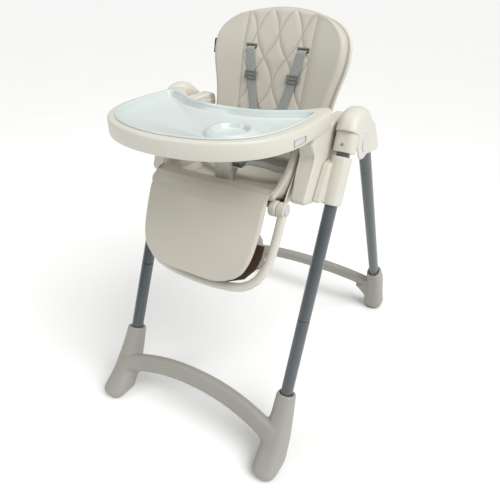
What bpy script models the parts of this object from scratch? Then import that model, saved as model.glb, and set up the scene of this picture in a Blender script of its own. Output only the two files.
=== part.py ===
"""Folding baby high chair: two A-frame leg pairs, a height-sliding bucket seat, a reclining
backrest, a lifting leg rest and a slide-off tray with a lift-out liner.

Metres, +Z up.  The origin is on the floor under the middle of the chair.  The child faces -Y and
+X is the right side of the chair seen from the front.  Every sub-part is one object.
"""

import math

import bmesh
import bpy
from mathutils import Matrix, Vector

# ---------------------------------------------------------------- driving dimensions
GAP = 0.0003                      # air left between pieces that touch
SIDES = (("left", -1), ("right", 1))

LEG_X = 0.250                     # leg centre lines, from the middle plane
LEG_W = 0.030                     # oval tube, across the chair
LEG_D = 0.038                     # oval tube, along the chair
TUBE_WALL = 0.0014

FRONT_LEAN = math.radians(22.5)   # front legs lean back
FRONT_JOIN = Vector((0, -0.298, 0.176))   # front leg axis where it leaves the foot
REAR_LEAN = math.radians(28.4)    # rear legs lean forward
REAR_JOIN = Vector((0, 0.373, 0.167))     # rear leg axis where it leaves the foot
PIVOT = Vector((0, 0.0, 0.748))   # fold axis of the rear legs

LEG_IN_FOOT = 0.060               # tube length hidden in the foot
FRONT_SEAM = 0.200                # joint of lower and upper front tube, along the leg
FRONT_TOP = 0.641                 # top end of the front tube, along the leg
SPIGOT = 0.045                    # lower tube's neck inside the upper tube
SOCKET_BOTTOM = 0.612             # hub socket's lower end, along the leg
REAR_TOP = 0.668                  # top end of the rear tube, along the leg

HUB_X0, HUB_X1 = 0.2245, 0.2765   # inner and outer face of the hub cover
HUB_WALL = 0.0030
PIN_R = 0.0050
BUTTON_R = 0.021

SLIDER_S0, SLIDER_S1 = 0.487, 0.598       # height slider, along the front leg
SHELL_X = 0.171                   # half width of the bucket, outside
ARM_X0, ARM_X1 = 0.1815, 0.2185   # armrest, inner and outer face
ARM_TOP = 0.800

LEG_REST_HINGE = Vector((0, -0.215, 0.637))
LEG_REST_TILT = math.radians(25.6)        # leg rest hangs forward of vertical
BACK_HINGE = Vector((0, 0.024, 0.640))
BACK_TILT = math.radians(15.0)            # backrest leans back
PAD_FRONT = -0.036                # back pad's front face, from the hinge


# ---------------------------------------------------------------- helpers
def clear_scene():
    for obj in list(bpy.data.objects):
        bpy.data.objects.remove(obj, do_unlink=True)


def finish(name):
    """Colour, roughness and metallic value of one moulding, metal or fabric."""
    finishes = {
        "beige_plastic": ((0.71, 0.69, 0.63), 0.45, 0.0),
        "white_plastic": ((0.86, 0.88, 0.87), 0.30, 0.0),
        "grey_button": ((0.66, 0.67, 0.68), 0.40, 0.0),
        "grey_steel": ((0.20, 0.22, 0.23), 0.35, 0.6),
        "zinc_steel": ((0.55, 0.56, 0.57), 0.35, 1.0),
        "rubber": ((0.05, 0.05, 0.05), 0.80, 0.0),
        "soft_leather": ((0.66, 0.64, 0.57), 0.50, 0.0),
        "webbing": ((0.42, 0.43, 0.43), 0.85, 0.0),
        "grey_plastic": ((0.36, 0.37, 0.37), 0.50, 0.0),
        "brown_board": ((0.11, 0.07, 0.05), 0.60, 0.0),
        "navy_label": ((0.02, 0.03, 0.06), 0.80, 0.0),
    }
    if name in bpy.data.materials:
        return bpy.data.materials[name]
    colour, roughness, metallic = finishes[name]
    material = bpy.data.materials.new(name)
    material.use_nodes = True
    shader = material.node_tree.nodes["Principled BSDF"]
    shader.inputs["Base Color"].default_value = (*colour, 1.0)
    shader.inputs["Roughness"].default_value = roughness
    shader.inputs["Metallic"].default_value = metallic
    material.diffuse_color = (*colour, 1.0)
    return material


def add(name, bm, material, origin=None, parent=None):
    """Turns a bmesh in world coordinates into a named object whose origin is on its joint axis."""
    bmesh.ops.recalc_face_normals(bm, faces=bm.faces)
    place = Vector(origin) if origin is not None else Vector()
    bmesh.ops.translate(bm, verts=bm.verts, vec=-place)
    mesh = bpy.data.meshes.new(name)
    bm.to_mesh(mesh)
    bm.free()
    mesh.materials.append(finish(material))
    mesh.shade_smooth()
    mesh.set_sharp_from_angle(angle=math.radians(35))
    obj = bpy.data.objects.new(name, mesh)
    bpy.context.scene.collection.objects.link(obj)
    obj.location = place
    if parent is not None:
        bpy.context.view_layer.update()
        obj.parent = parent
        obj.matrix_parent_inverse = parent.matrix_world.inverted()
    return obj


def axis_empty(name, place):
    """An empty on a joint axis, which the pieces of one moving body are parented to."""
    empty = bpy.data.objects.new(name, None)
    bpy.context.scene.collection.objects.link(empty)
    empty.location = place
    return empty


def solid_object(bm):
    """A throw-away object used by one Boolean and then removed."""
    bmesh.ops.recalc_face_normals(bm, faces=bm.faces)
    mesh = bpy.data.meshes.new("tool")
    bm.to_mesh(mesh)
    bm.free()
    obj = bpy.data.objects.new("tool", mesh)
    bpy.context.scene.collection.objects.link(obj)
    return obj


def boolean(bm, tools, operation):
    """bm with every tool solid joined to it or cut out of it."""
    base = solid_object(bm)
    for tool_bm in tools:
        tool = solid_object(tool_bm)
        modifier = base.modifiers.new("cut", "BOOLEAN")
        modifier.operation = operation
        modifier.solver = "EXACT"
        modifier.object = tool
        graph = bpy.context.evaluated_depsgraph_get()
        mesh = bpy.data.meshes.new_from_object(base.evaluated_get(graph))
        base.modifiers.clear()
        base.data = mesh
        bpy.data.objects.remove(tool, do_unlink=True)
    result = bmesh.new()
    result.from_mesh(base.data)
    bpy.data.objects.remove(base, do_unlink=True)
    return result


def join(bm, *tools):
    return boolean(bm, tools, "UNION")


def cut(bm, *tools):
    return boolean(bm, tools, "DIFFERENCE")


def oval(width, depth, count=20):
    """Closed elliptical outline."""
    turn = 2 * math.pi / count
    return [(width / 2 * math.cos(i * turn), depth / 2 * math.sin(i * turn)) for i in range(count)]


def round_rect(width, depth, radius, steps=3):
    """Closed rectangle outline with rounded corners."""
    points = []
    for quarter, (sx, sy) in enumerate(((1, 1), (-1, 1), (-1, -1), (1, -1))):
        centre = (sx * (width / 2 - radius), sy * (depth / 2 - radius))
        for i in range(steps + 1):
            angle = (quarter + i / steps) * math.pi / 2
            points.append((centre[0] + radius * math.cos(angle), centre[1] + radius * math.sin(angle)))
    return points


def ring(outline, centre, u, v):
    return [Vector(centre) + Vector(u) * a + Vector(v) * b for a, b in outline]


def loft(rings):
    """Closed solid through rings of equal length, with a flat cap at each end."""
    bm = bmesh.new()
    rows = [[bm.verts.new(p) for p in points] for points in rings]
    count = len(rows[0])
    for low, high in zip(rows, rows[1:]):
        for i in range(count):
            j = (i + 1) % count
            bm.faces.new((low[i], low[j], high[j], high[i]))
    bm.faces.new(rows[0][::-1])
    bm.faces.new(rows[-1])
    return bm


def pipe(rings):
    """Closed tube: the rings run up the outside and back down the inside."""
    bm = bmesh.new()
    rows = [[bm.verts.new(p) for p in points] for points in rings]
    count = len(rows[0])
    for low, high in zip(rows, rows[1:] + rows[:1]):
        for i in range(count):
            j = (i + 1) % count
            bm.faces.new((low[i], low[j], high[j], high[i]))
    return bm


def rod(start, end, radius, count=20):
    """Round bar between two points."""
    along = (Vector(end) - Vector(start)).normalized()
    u = along.orthogonal().normalized()
    v = along.cross(u)
    outline = oval(2 * radius, 2 * radius, count)
    return loft([ring(outline, start, u, v), ring(outline, end, u, v)])


def stepped_rod(points, count=20):
    """Round bar whose radius changes: points are (place, radius) pairs along one line."""
    along = (Vector(points[-1][0]) - Vector(points[0][0])).normalized()
    u = along.orthogonal().normalized()
    v = along.cross(u)
    return loft([ring(oval(2 * r, 2 * r, count), p, u, v) for p, r in points])


def plate(outline, x0, x1, bevel=0.0, segments=2):
    """Side-view outline in (y, z), extruded across the chair from x0 to x1, edges rounded."""
    bm = loft([[Vector((x, y, z)) for y, z in outline] for x in (x0, x1)])
    if bevel > 0:
        rim = [e for e in bm.edges if abs(e.verts[0].co.x - e.verts[1].co.x) < 1e-6]
        bmesh.ops.bevel(bm, geom=rim, offset=bevel, segments=segments, profile=0.5, affect="EDGES")
    return bm


def box(low, high, bevel=0.0, segments=2):
    """Block between two corners, with all its edges rounded."""
    bm = bmesh.new()
    size = Vector(high) - Vector(low)
    middle = (Vector(high) + Vector(low)) / 2
    bmesh.ops.create_cube(bm, size=1.0, matrix=Matrix.Translation(middle) @ Matrix.Diagonal((*size, 1)))
    if bevel > 0:
        bmesh.ops.bevel(bm, geom=bm.edges[:], offset=bevel, segments=segments, profile=0.5, affect="EDGES")
    return bm


def arc(centre, radius, start, end, steps):
    """Points on a circle in (y, z), angles in degrees from +y towards +z."""
    points = []
    for i in range(steps + 1):
        angle = math.radians(start + (end - start) * i / steps)
        points.append((centre[0] + radius * math.cos(angle), centre[1] + radius * math.sin(angle)))
    return points


def mirrored(outline):
    """Right half of an outline, bottom to top, completed by its mirror image."""
    return outline + [(-x, y) for x, y in reversed(outline) if abs(x) > 1e-9]


def smooth_curve(points, steps):
    """Catmull-Rom curve through the points."""
    points = [Vector(p) for p in points]
    ends = [2 * points[0] - points[1]] + points + [2 * points[-1] - points[-2]]
    curve = []
    for i in range(1, len(ends) - 2):
        a, b, c, d = ends[i - 1:i + 3]
        for k in range(steps):
            t = k / steps
            curve.append(0.5 * (2 * b + (c - a) * t + (2 * a - 5 * b + 4 * c - d) * t * t
                                + (3 * b - a - 3 * c + d) * t ** 3))
    curve.append(points[-1])
    return curve


def sweep(points, outline, across):
    """Solid along a path: the outline's first axis stays near `across`."""
    rings = []
    for i, point in enumerate(points):
        before = points[max(i - 1, 0)]
        after = points[min(i + 1, len(points) - 1)]
        along = (after - before).normalized()
        v = along.cross(Vector(across)).normalized()
        u = v.cross(along)
        rings.append(ring(outline, point, u, v))
    return loft(rings)


# ---------------------------------------------------------------- leg axes
FRONT_DIR = Vector((0, math.sin(FRONT_LEAN), math.cos(FRONT_LEAN)))
FRONT_ACROSS = Vector((0, math.cos(FRONT_LEAN), -math.sin(FRONT_LEAN)))
REAR_DIR = Vector((0, -math.sin(REAR_LEAN), math.cos(REAR_LEAN)))
REAR_ACROSS = Vector((0, math.cos(REAR_LEAN), math.sin(REAR_LEAN)))
ACROSS_X = Vector((1, 0, 0))


def on_front(side, s):
    """Point on a front leg's axis, s metres above the foot."""
    return FRONT_JOIN + FRONT_DIR * s + ACROSS_X * (side * LEG_X)


def on_rear(side, s):
    return REAR_JOIN + REAR_DIR * s + ACROSS_X * (side * LEG_X)


# ---------------------------------------------------------------- feet and legs
def foot_solid(join_point, lean_dir, across, toe_y, heel_y, bar, height):
    """Arched one-piece foot: two boots that flare to the floor, and the bar between them."""
    solid = None
    for _, side in SIDES:
        middle = (toe_y + heel_y) / 2
        length = abs(heel_y - toe_y)
        collar = join_point + lean_dir * 0.006 + ACROSS_X * (side * LEG_X)
        low_collar = join_point - lean_dir * 0.050 + ACROSS_X * (side * (LEG_X + 0.002))
        knee_y = (low_collar.y + middle) / 2
        rings = [
            ring(round_rect(0.046, 0.050, 0.018), collar, ACROSS_X, across),
            ring(round_rect(0.052, 0.060, 0.020), low_collar, ACROSS_X, across),
            ring(round_rect(0.064, length * 0.85, 0.024),
                 (side * (LEG_X + 0.003), knee_y, 0.066), ACROSS_X, (0, 1, 0)),
            ring(round_rect(0.068, length, 0.026),
                 (side * (LEG_X + 0.006), middle, 0.026), ACROSS_X, (0, 1, 0)),
            ring(round_rect(0.056, length - 0.012, 0.022),
                 (side * (LEG_X + 0.006), middle, 0.0035), ACROSS_X, (0, 1, 0)),
        ]
        boot = loft(rings)
        solid = boot if solid is None else join(solid, boot)
    points = [Vector((x, *bar(x))) for x in [(-1 + i / 8) * (LEG_X - 0.004) for i in range(17)]]
    return join(solid, sweep(points, round_rect(0.030, height, 0.011), across))


def front_bar(x):
    """Front crossbar's middle line: it arches up and back between the boots."""
    t = (abs(x) / LEG_X) ** 2.2
    z = 0.132 - 0.044 * t
    return FRONT_JOIN.y - 0.014 - (FRONT_JOIN.z - z) * 0.60, z


def rear_bar(x):
    """Rear crossbar's middle line."""
    t = (abs(x) / LEG_X) ** 2.2
    z = 0.120 - 0.030 * t
    return REAR_JOIN.y + (REAR_JOIN.z - z) * 0.40, z


def leg_hole(place, direction, across, depth, top):
    """Cutter for the socket of one oval leg tube."""
    outline = oval(LEG_W + 2 * GAP, LEG_D + 2 * GAP)
    ends = (place - direction * (depth + GAP), place + direction * top)
    return loft([ring(outline, p, ACROSS_X, across) for p in ends])


def build_feet():
    front = foot_solid(FRONT_JOIN, FRONT_DIR, FRONT_ACROSS, -0.440, -0.342, front_bar, 0.050)
    holes = [leg_hole(on_front(s, 0), FRONT_DIR, FRONT_ACROSS, LEG_IN_FOOT, 0.03) for _, s in SIDES]
    add("front_foot", cut(front, *holes), "beige_plastic")
    rear = foot_solid(REAR_JOIN, REAR_DIR, REAR_ACROSS, 0.440, 0.374, rear_bar, 0.046)
    holes = [leg_hole(on_rear(s, 0), REAR_DIR, REAR_ACROSS, LEG_IN_FOOT, 0.03) for _, s in SIDES]
    holes += [rod(screw_point(s, -0.04), screw_point(s, 0.003), 0.0043, 12) for _, s in SIDES]
    return cut(rear, *holes)


def screw_point(side, lift):
    """Place on the axis of a rear foot screw, measured from the collar's inner rear face."""
    return on_rear(side, -0.022) - REAR_ACROSS * (0.026 + lift)


def sole(name, side, y, length, parent=None):
    """Rubber pad glued under one boot."""
    outline = round_rect(0.044, length, 0.018)
    x = side * (LEG_X + 0.006)
    rings = [ring(outline, (x, y, z), ACROSS_X, (0, 1, 0)) for z in (0.0, 0.0035 - GAP)]
    add(name, loft(rings), "rubber", parent=parent)


def tube(point, across, width, depth, wall, stations):
    """Oval tube; stations are (distance along the leg, reduction of the outline)."""
    outside = [ring(oval(width - r, depth - r), point(s), ACROSS_X, across) for s, r in stations]
    inside = [ring(oval(width - r - 2 * wall, depth - r - 2 * wall), point(s), ACROSS_X, across)
              for s, r in reversed(stations)]
    return pipe(outside + inside)


def build_front_legs():
    neck = 2 * TUBE_WALL + 2 * GAP
    for label, side in SIDES:
        def point(s, side=side):
            return on_front(side, s)
        lower = tube(point, FRONT_ACROSS, LEG_W, LEG_D, TUBE_WALL, [
            (-LEG_IN_FOOT, 0), (FRONT_SEAM - GAP, 0),
            (FRONT_SEAM + 0.001, neck), (FRONT_SEAM + SPIGOT, neck)])
        add(f"front_leg_lower_{label}", lower, "grey_steel")
        upper = tube(point, FRONT_ACROSS, LEG_W, LEG_D, TUBE_WALL,
                     [(FRONT_SEAM + 0.0015, 0), (FRONT_TOP, 0)])
        add(f"front_leg_upper_{label}", upper, "grey_steel")


# ---------------------------------------------------------------- hubs
def hub_point(y, z):
    return PIVOT.y + y, PIVOT.z + z


def cover_outline():
    """Side view of the hub cover: a hood that hangs over the fold axis, open below."""
    crown = arc(hub_point(-0.015, 0.013), 0.0690, 153, 40, 8)
    back = [hub_point(0.0752, 0.030), hub_point(0.1170, -0.042), hub_point(0.1050, -0.049)]
    chin = arc(hub_point(0, 0), 0.043, -60, -150, 5)
    front = [hub_point(-0.048, -0.004), hub_point(-0.048, 0.020), hub_point(-0.057, 0.034)]
    return crown + back + chin + front


def inside_outline():
    """Hollow of the cover: room for the knuckle from its spread to its folded place."""
    crown = arc(hub_point(-0.015, 0.013), 0.0690 - HUB_WALL, 153, 42, 8)
    back = [hub_point(0.0720, 0.028), hub_point(0.1128, -0.043), hub_point(0.140, -0.090)]
    return crown + back + [hub_point(-0.100, -0.090), hub_point(-0.110, 0.0)]


def socket_solid(side):
    """Front hub: sleeve over the leg top, with a flange that carries the fold pin."""
    width = 0.0395
    outline = round_rect(width, 0.0440, 0.015)
    rings = [ring(outline, on_front(side, s), ACROSS_X, FRONT_ACROSS) for s in (SOCKET_BOTTOM, 0.646)]
    sleeve = loft(rings)
    a, b = on_front(side, 0.640), on_front(side, 0.618)
    web = [(a.y, a.z), (b.y, b.z)] + arc(hub_point(0, 0), 0.0135, -110, 80, 8)
    low, high = sorted((side * 0.2315, side * 0.2375))
    bore = rod((side * 0.20, *hub_point(0, 0)), (side * 0.30, *hub_point(0, 0)), PIN_R + GAP)
    hole = leg_hole(on_front(side, 0), FRONT_DIR, FRONT_ACROSS, 0, FRONT_TOP + GAP)
    return cut(join(sleeve, plate(web, low, high)), bore, hole)


def knuckle_solid(side):
    """Rear hub: plugs over the rear leg's top and turns on the fold pin."""
    outline = round_rect(0.0365, 0.0445, 0.015)
    rings = [ring(outline, on_rear(side, s), ACROSS_X, REAR_ACROSS) for s in (0.618, 0.672)]
    a, b = on_rear(side, 0.664), on_rear(side, 0.624)
    web = arc(hub_point(0, 0), 0.0155, 100, 290, 8) + [(b.y, b.z), (a.y, a.z)]
    low, high = sorted((side * 0.2380, side * 0.2600))
    bore = rod((side * 0.20, *hub_point(0, 0)), (side * 0.30, *hub_point(0, 0)), PIN_R + GAP)
    hole = leg_hole(on_rear(side, 0), REAR_DIR, REAR_ACROSS, 0, REAR_TOP + GAP)
    return cut(join(loft(rings), plate(web, low, high)), bore, hole)


def build_hubs(fold):
    for label, side in SIDES:
        x0, x1 = sorted((side * HUB_X0, side * HUB_X1))
        cover = plate(cover_outline(), x0, x1, 0.0040, 2)
        inner0, inner1 = sorted((side * (HUB_X0 + HUB_WALL), side * (HUB_X1 - HUB_WALL)))
        button_y, button_z = hub_point(0, 0)
        eye = rod((side * 0.26, button_y, button_z), (side * 0.29, button_y, button_z),
                  BUTTON_R + 0.0005, 28)
        add(f"hub_cover_{label}", cut(cover, eye, plate(inside_outline(), inner0, inner1)), "beige_plastic")
        add(f"hub_socket_{label}", socket_solid(side), "beige_plastic")
        start = Vector((side * 0.2283, button_y, button_z))
        end = Vector((side * 0.2628, button_y, button_z))
        add(f"fold_pin_{label}", rod(start, end, PIN_R, 16), "zinc_steel")
        add(f"rear_knuckle_{label}", knuckle_solid(side), "beige_plastic", parent=fold)
        add(f"fold_button_{label}", button_solid(side, button_y, button_z), "grey_button",
            origin=(side * 0.277, button_y, button_z))


def button_solid(side, y, z):
    """Press button with a rounded edge."""
    profile = [(0.2700, BUTTON_R), (0.2775, BUTTON_R), (0.2790, BUTTON_R - 0.0015),
               (0.2795, BUTTON_R - 0.004)]
    return stepped_rod([(Vector((side * x, y, z)), r) for x, r in profile], 28)


def build_rear_legs(fold):
    for label, side in SIDES:
        def point(s, side=side):
            return on_rear(side, s)
        leg = tube(point, REAR_ACROSS, LEG_W, LEG_D, TUBE_WALL, [(-LEG_IN_FOOT, 0), (REAR_TOP, 0)])
        add(f"rear_leg_{label}", leg, "grey_steel", parent=fold)
        sole(f"rear_sole_{label}", side, 0.4070, 0.046, fold)
        sole(f"front_sole_{label}", side, -0.3910, 0.074)
        head, root = screw_point(side, 0.002), screw_point(side, -0.0035)
        add(f"rear_foot_screw_{label}", rod(head, root, 0.0040, 12), "zinc_steel", parent=fold)


# ---------------------------------------------------------------- seat
def bucket_ring(y, half, floor, top, wall):
    """U-shaped cross-section at one y: down one outside, across the floor, and back up the inside."""
    flare = 0.010 * min(1.0, (top - floor) / 0.15)
    corner = min(0.030, (top - floor) * 0.6)
    inner_corner = corner - wall * 0.4
    outside = [(half + flare, top), (half, floor + corner), (half - corner * 0.3, floor + corner * 0.3),
               (half - corner, floor), (0.0, floor)]
    inside = [(half + flare - wall, top), (half - wall, floor + wall + inner_corner),
              (half - wall - inner_corner * 0.3, floor + wall + inner_corner * 0.3),
              (half - wall - inner_corner, floor + wall), (0.0, floor + wall)]
    outer = outside + [(-x, z) for x, z in outside[-2::-1]]
    inner = inside + [(-x, z) for x, z in inside[-2::-1]]
    return [Vector((x, y, z)) for x, z in outer + inner[::-1]]


def build_seat_shell():
    """Moulded bucket with a drum at each front corner for the leg rest and an ear for the backrest."""
    stations = [(-0.194, 0.622, 0.652), (-0.170, 0.620, 0.690), (-0.125, 0.618, 0.752),
                (-0.060, 0.617, 0.786), (0.000, 0.617, 0.790), (0.040, 0.619, 0.784)]
    shell = loft([bucket_ring(y, SHELL_X, floor, top, 0.0035) for y, floor, top in stations])
    y, z = LEG_REST_HINGE.y, LEG_REST_HINGE.z
    tools = []
    for _, side in SIDES:
        low, high = sorted((side * 0.148, side * 0.1665))
        lug = arc((y, z), 0.0185, 60, 300, 12) + [(-0.183, z - 0.0155), (-0.186, z - 0.003)]
        tools.append(plate(lug, low, high, 0.0015, 1))
    shell = join(shell, *tools)
    pins = [rod((side * 0.15, y, z), (side * 0.18, y, z), 0.0050 + GAP, 16) for _, side in SIDES]
    ears = [rod((side * 0.16, BACK_HINGE.y, BACK_HINGE.z), (side * 0.18, BACK_HINGE.y, BACK_HINGE.z),
                0.0060 + GAP, 16) for _, side in SIDES]
    add("seat_shell", cut(shell, *pins, *ears), "beige_plastic")


def build_seat_pad():
    """Foam pad that lines the bucket, with side wings."""
    stations = [(-0.232, 0.6580, 0.6735), (-0.205, 0.6560, 0.684), (-0.170, 0.6300, 0.712),
                (-0.125, 0.6270, 0.768), (-0.070, 0.6260, 0.794), (-0.020, 0.6260, 0.798)]
    rings = [bucket_ring(y, SHELL_X - 0.0060, floor, top, 0.015) for y, floor, top in stations]
    add("seat_pad", cut(loft(rings), crotch_post(0.0008)), "soft_leather")


def crotch_post(room):
    """Tongue that stands up from the seat between the child's legs, or, with room, its slot."""
    route = [(0, -0.180, 0.6275 - 8 * room), (0, -0.183, 0.660), (0, -0.184, 0.700), (0, -0.180, 0.735)]
    return sweep(smooth_curve(route, 3), round_rect(0.048 + 2 * room, 0.016 + 2 * room, 0.007), ACROSS_X)


def armrest_outline():
    """Side view of an armrest: long rail on top, bracket leaning down and forward."""
    rail = [(-0.168, 0.776), (-0.160, 0.790), (-0.145, ARM_TOP), (0.040, ARM_TOP), (0.052, ARM_TOP - 0.008)]
    bracket = [(0.054, 0.770), (0.030, 0.735), (-0.020, 0.700), (-0.060, 0.650), (-0.085, 0.632),
               (-0.150, 0.636), (-0.188, 0.646), (-0.192, 0.656), (-0.150, 0.745)]
    return rail + bracket


def slider_solid(side):
    """Oval sleeve that runs on the front leg, with a shoe that screws to the armrest bracket."""
    outline = round_rect(0.0425, 0.0520, 0.018)
    rings = [ring(outline, on_front(side, s), ACROSS_X, FRONT_ACROSS) for s in (SLIDER_S0, SLIDER_S1)]
    low, high = sorted((side * (ARM_X1 + GAP), side * 0.236))
    a, b = on_front(side, SLIDER_S0 + 0.006), on_front(side, SLIDER_S1 - 0.006)
    shoe = [(a.y - 0.046, a.z + 0.012), (a.y, a.z), (b.y, b.z), (b.y - 0.036, b.z - 0.004)]
    bore = oval(LEG_W + 0.0012, LEG_D + 0.0012, 20)
    ends = (on_front(side, SLIDER_S0 - 0.05), on_front(side, SLIDER_S1 + 0.05))
    hole = loft([ring(bore, p, ACROSS_X, FRONT_ACROSS) for p in ends])
    return cut(join(loft(rings), plate(shoe, low, high)), hole, lever_block(side, 0.0005, 0.0235, 0.012))


def lever_block(side, room, start, reach):
    """Height lever's pad behind the slider, or, with room, the pocket that it moves in."""
    near = on_front(side, SLIDER_S0 + 0.035) + FRONT_ACROSS * start
    outline = round_rect(0.020 + 2 * room, 0.050 + 2 * room, 0.004, 2)
    return loft([ring(outline, p, ACROSS_X, FRONT_DIR) for p in (near, near + FRONT_ACROSS * reach)])


def flat_strap(points, width, thickness):
    """Webbing along a path of places, its width lying across the chair."""
    return sweep(smooth_curve(points, 3), round_rect(width, thickness, thickness * 0.45, 1), ACROSS_X)


def build_seat():
    build_seat_shell()
    build_seat_pad()
    y, z = LEG_REST_HINGE.y, LEG_REST_HINGE.z
    for label, side in SIDES:
        x0, x1 = sorted((side * ARM_X0, side * ARM_X1))
        add(f"armrest_{label}", plate(armrest_outline(), x0, x1, 0.004, 2), "beige_plastic")
        add(f"height_slider_{label}", slider_solid(side), "beige_plastic")
        add(f"height_lever_{label}", lever_block(side, 0.0, 0.0285, 0.0050), "grey_button",
            origin=on_front(side, SLIDER_S0 + 0.035))
        near, far = Vector((side * 0.1503, y, z)), Vector((side * 0.1745, y, z))
        add(f"leg_rest_pin_{label}", rod(near, far, 0.0050, 14), "zinc_steel")
        near, far = (Vector((side * x, BACK_HINGE.y, BACK_HINGE.z)) for x in (0.1540, 0.1735))
        add(f"backrest_pin_{label}", rod(near, far, 0.0060, 14), "zinc_steel")
        waist = [(side * x, wy, wz) for x, wy, wz in
                 ((0.0240, -0.118, 0.684), (0.060, -0.112, 0.688), (0.105, -0.092, 0.675),
                  (0.140, -0.060, 0.672))]
        strap = sweep(smooth_curve(waist, 3), round_rect(0.024, 0.0022, 0.0009, 1), (0, 1, 0.1))
        add(f"waist_strap_{label}", strap, "webbing")
    add("crotch_post", crotch_post(0.0), "beige_plastic")
    route = [(0, -0.160, 0.6495), (0, -0.153, 0.660), (0, -0.1400, 0.676)]
    add("crotch_strap", flat_strap(route, 0.024, 0.0022), "webbing")
    body = box((-0.0205, -0.1370, 0.6760), (0.0205, -0.1000, 0.6900), 0.0040)
    recess = rod((0, -0.1185, 0.6860), (0, -0.1185, 0.7000), 0.0100, 18)
    add("harness_buckle", cut(body, recess), "grey_plastic")
    press = [(0.6890, 0.0095), (0.6920, 0.0095), (0.6930, 0.0080)]
    add("buckle_button", stepped_rod([(Vector((0, -0.1185, z)), r) for z, r in press], 18), "grey_button",
        origin=(0, -0.1185, 0.6915))


# ---------------------------------------------------------------- backrest
BACK_UP = Vector((0, math.sin(BACK_TILT), math.cos(BACK_TILT)))
BACK_REAR = Vector((0, math.cos(BACK_TILT), -math.sin(BACK_TILT)))


def on_back(x, up, rear):
    """Point on the backrest: across, up the back from the hinge, and behind the hinge axis."""
    return BACK_HINGE + Vector((x, 0, 0)) + BACK_UP * up + BACK_REAR * rear


def back_rings(widths, front, thickness, wing, edge):
    """Cross-sections up the backrest: a slab whose sides come forward a little as wings."""
    rings = []
    for up, half in widths:
        roll = 0.018 * max(0.0, (up - 0.25) / 0.13) ** 2
        row = []
        for k in range(7):
            t = -1 + k / 3
            row.append(on_back(half * t, up, front - wing * abs(t) ** 3 + roll + edge * abs(t) ** 6))
        for k in range(7):
            t = 1 - k / 3
            rear = front + thickness - wing * abs(t) ** 3 + roll - edge * abs(t) ** 6
            row.append(on_back(half * t, up, rear))
        rings.append(row)
    return rings


def build_backrest(recline):
    pad_widths = [(0.014, 0.150), (0.060, 0.157), (0.120, 0.159), (0.165, 0.162), (0.205, 0.170),
                  (0.250, 0.181), (0.290, 0.183), (0.322, 0.174), (0.347, 0.155), (0.366, 0.127),
                  (0.378, 0.092)]
    pad = loft(back_rings(pad_widths, PAD_FRONT, 0.030, 0.010, 0.006))
    slot = round_rect(0.030, 0.008, 0.003, 2)
    slots = [loft([ring(slot, on_back(side * 0.073, 0.285, r), ACROSS_X, BACK_UP)
                   for r in (PAD_FRONT - 0.03, PAD_FRONT + 0.09)]) for _, side in SIDES]
    add("back_pad", cut(pad, *[s.copy() for s in slots]), "soft_leather", parent=recline)
    shell_widths = [(-0.013, 0.150), (0.020, 0.162), (0.120, 0.164), (0.165, 0.168), (0.205, 0.176),
                    (0.250, 0.187), (0.290, 0.189), (0.322, 0.180), (0.347, 0.161), (0.366, 0.134),
                    (0.380, 0.096)]
    shell = loft(back_rings(shell_widths, PAD_FRONT + 0.0310, 0.012, 0.010, 0.001))
    pins = [rod((side * 0.150, BACK_HINGE.y, BACK_HINGE.z), (side * 0.170, BACK_HINGE.y, BACK_HINGE.z),
                0.0060 + GAP, 14) for _, side in SIDES]
    add("back_shell", cut(shell, *slots, *pins), "beige_plastic", parent=recline)
    for label, side in SIDES:
        front = PAD_FRONT - 0.0032
        route = [on_back(side * 0.073, 0.2840, front + 0.010), on_back(side * 0.0715, 0.276, front),
                 on_back(side * 0.060, 0.215, front), on_back(side * 0.043, 0.145, front),
                 on_back(side * 0.030, 0.085, front - 0.002), on_back(side * 0.024, 0.050, front - 0.012)]
        add(f"shoulder_strap_{label}", flat_strap(route, 0.025, 0.0022), "webbing", parent=recline)
        place = on_back(side * 0.0600, 0.215, front - 0.0040)
        adjuster = loft([ring(round_rect(0.033, 0.020, 0.004, 2), place + BACK_REAR * d, ACROSS_X, BACK_UP)
                         for d in (-0.0020, 0.0022)])
        add(f"strap_adjuster_{label}", adjuster, "grey_plastic", origin=place)
    tag = [on_back(-0.1835, up, PAD_FRONT + r) for up in (0.262, 0.298) for r in (0.010, 0.0116)]
    far = [p - ACROSS_X * 0.010 for p in tag]
    bm = loft([[tag[0], tag[1], tag[3], tag[2]], [far[0], far[1], far[3], far[2]]])
    add("side_tag", bm, "navy_label", parent=recline)
    outline = round_rect(0.085, 0.020, 0.009, 3)
    place = on_back(0, 0.230, PAD_FRONT + 0.0434)
    lever = loft([ring(outline, place + BACK_REAR * d, ACROSS_X, BACK_UP) for d in (0.0, 0.010, 0.013)])
    add("recline_lever", lever, "grey_button", origin=place)


# ---------------------------------------------------------------- leg rest
REST_DOWN = Vector((0, -math.sin(LEG_REST_TILT), -math.cos(LEG_REST_TILT)))
REST_FRONT = Vector((0, -math.cos(LEG_REST_TILT), math.sin(LEG_REST_TILT)))


def on_rest(x, down, front):
    """Point on the leg rest: across, down from the hinge, and in front of the hinge axis."""
    return LEG_REST_HINGE + Vector((x, 0, 0)) + REST_DOWN * down + REST_FRONT * front


def rest_slab(half_points, back, front, bevel):
    """Flat slab in the leg rest's plane; half_points run from the top middle to the bottom middle."""
    outline = mirrored(half_points)
    bm = loft([[on_rest(x, d, f) for x, d in outline] for f in (back, front)])
    if bevel > 0:
        rim = [e for e in bm.edges if abs((e.verts[0].co - e.verts[1].co).dot(REST_FRONT)) < 1e-6]
        bmesh.ops.bevel(bm, geom=rim, offset=bevel, segments=2, profile=0.5, affect="EDGES")
    return bm


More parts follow.
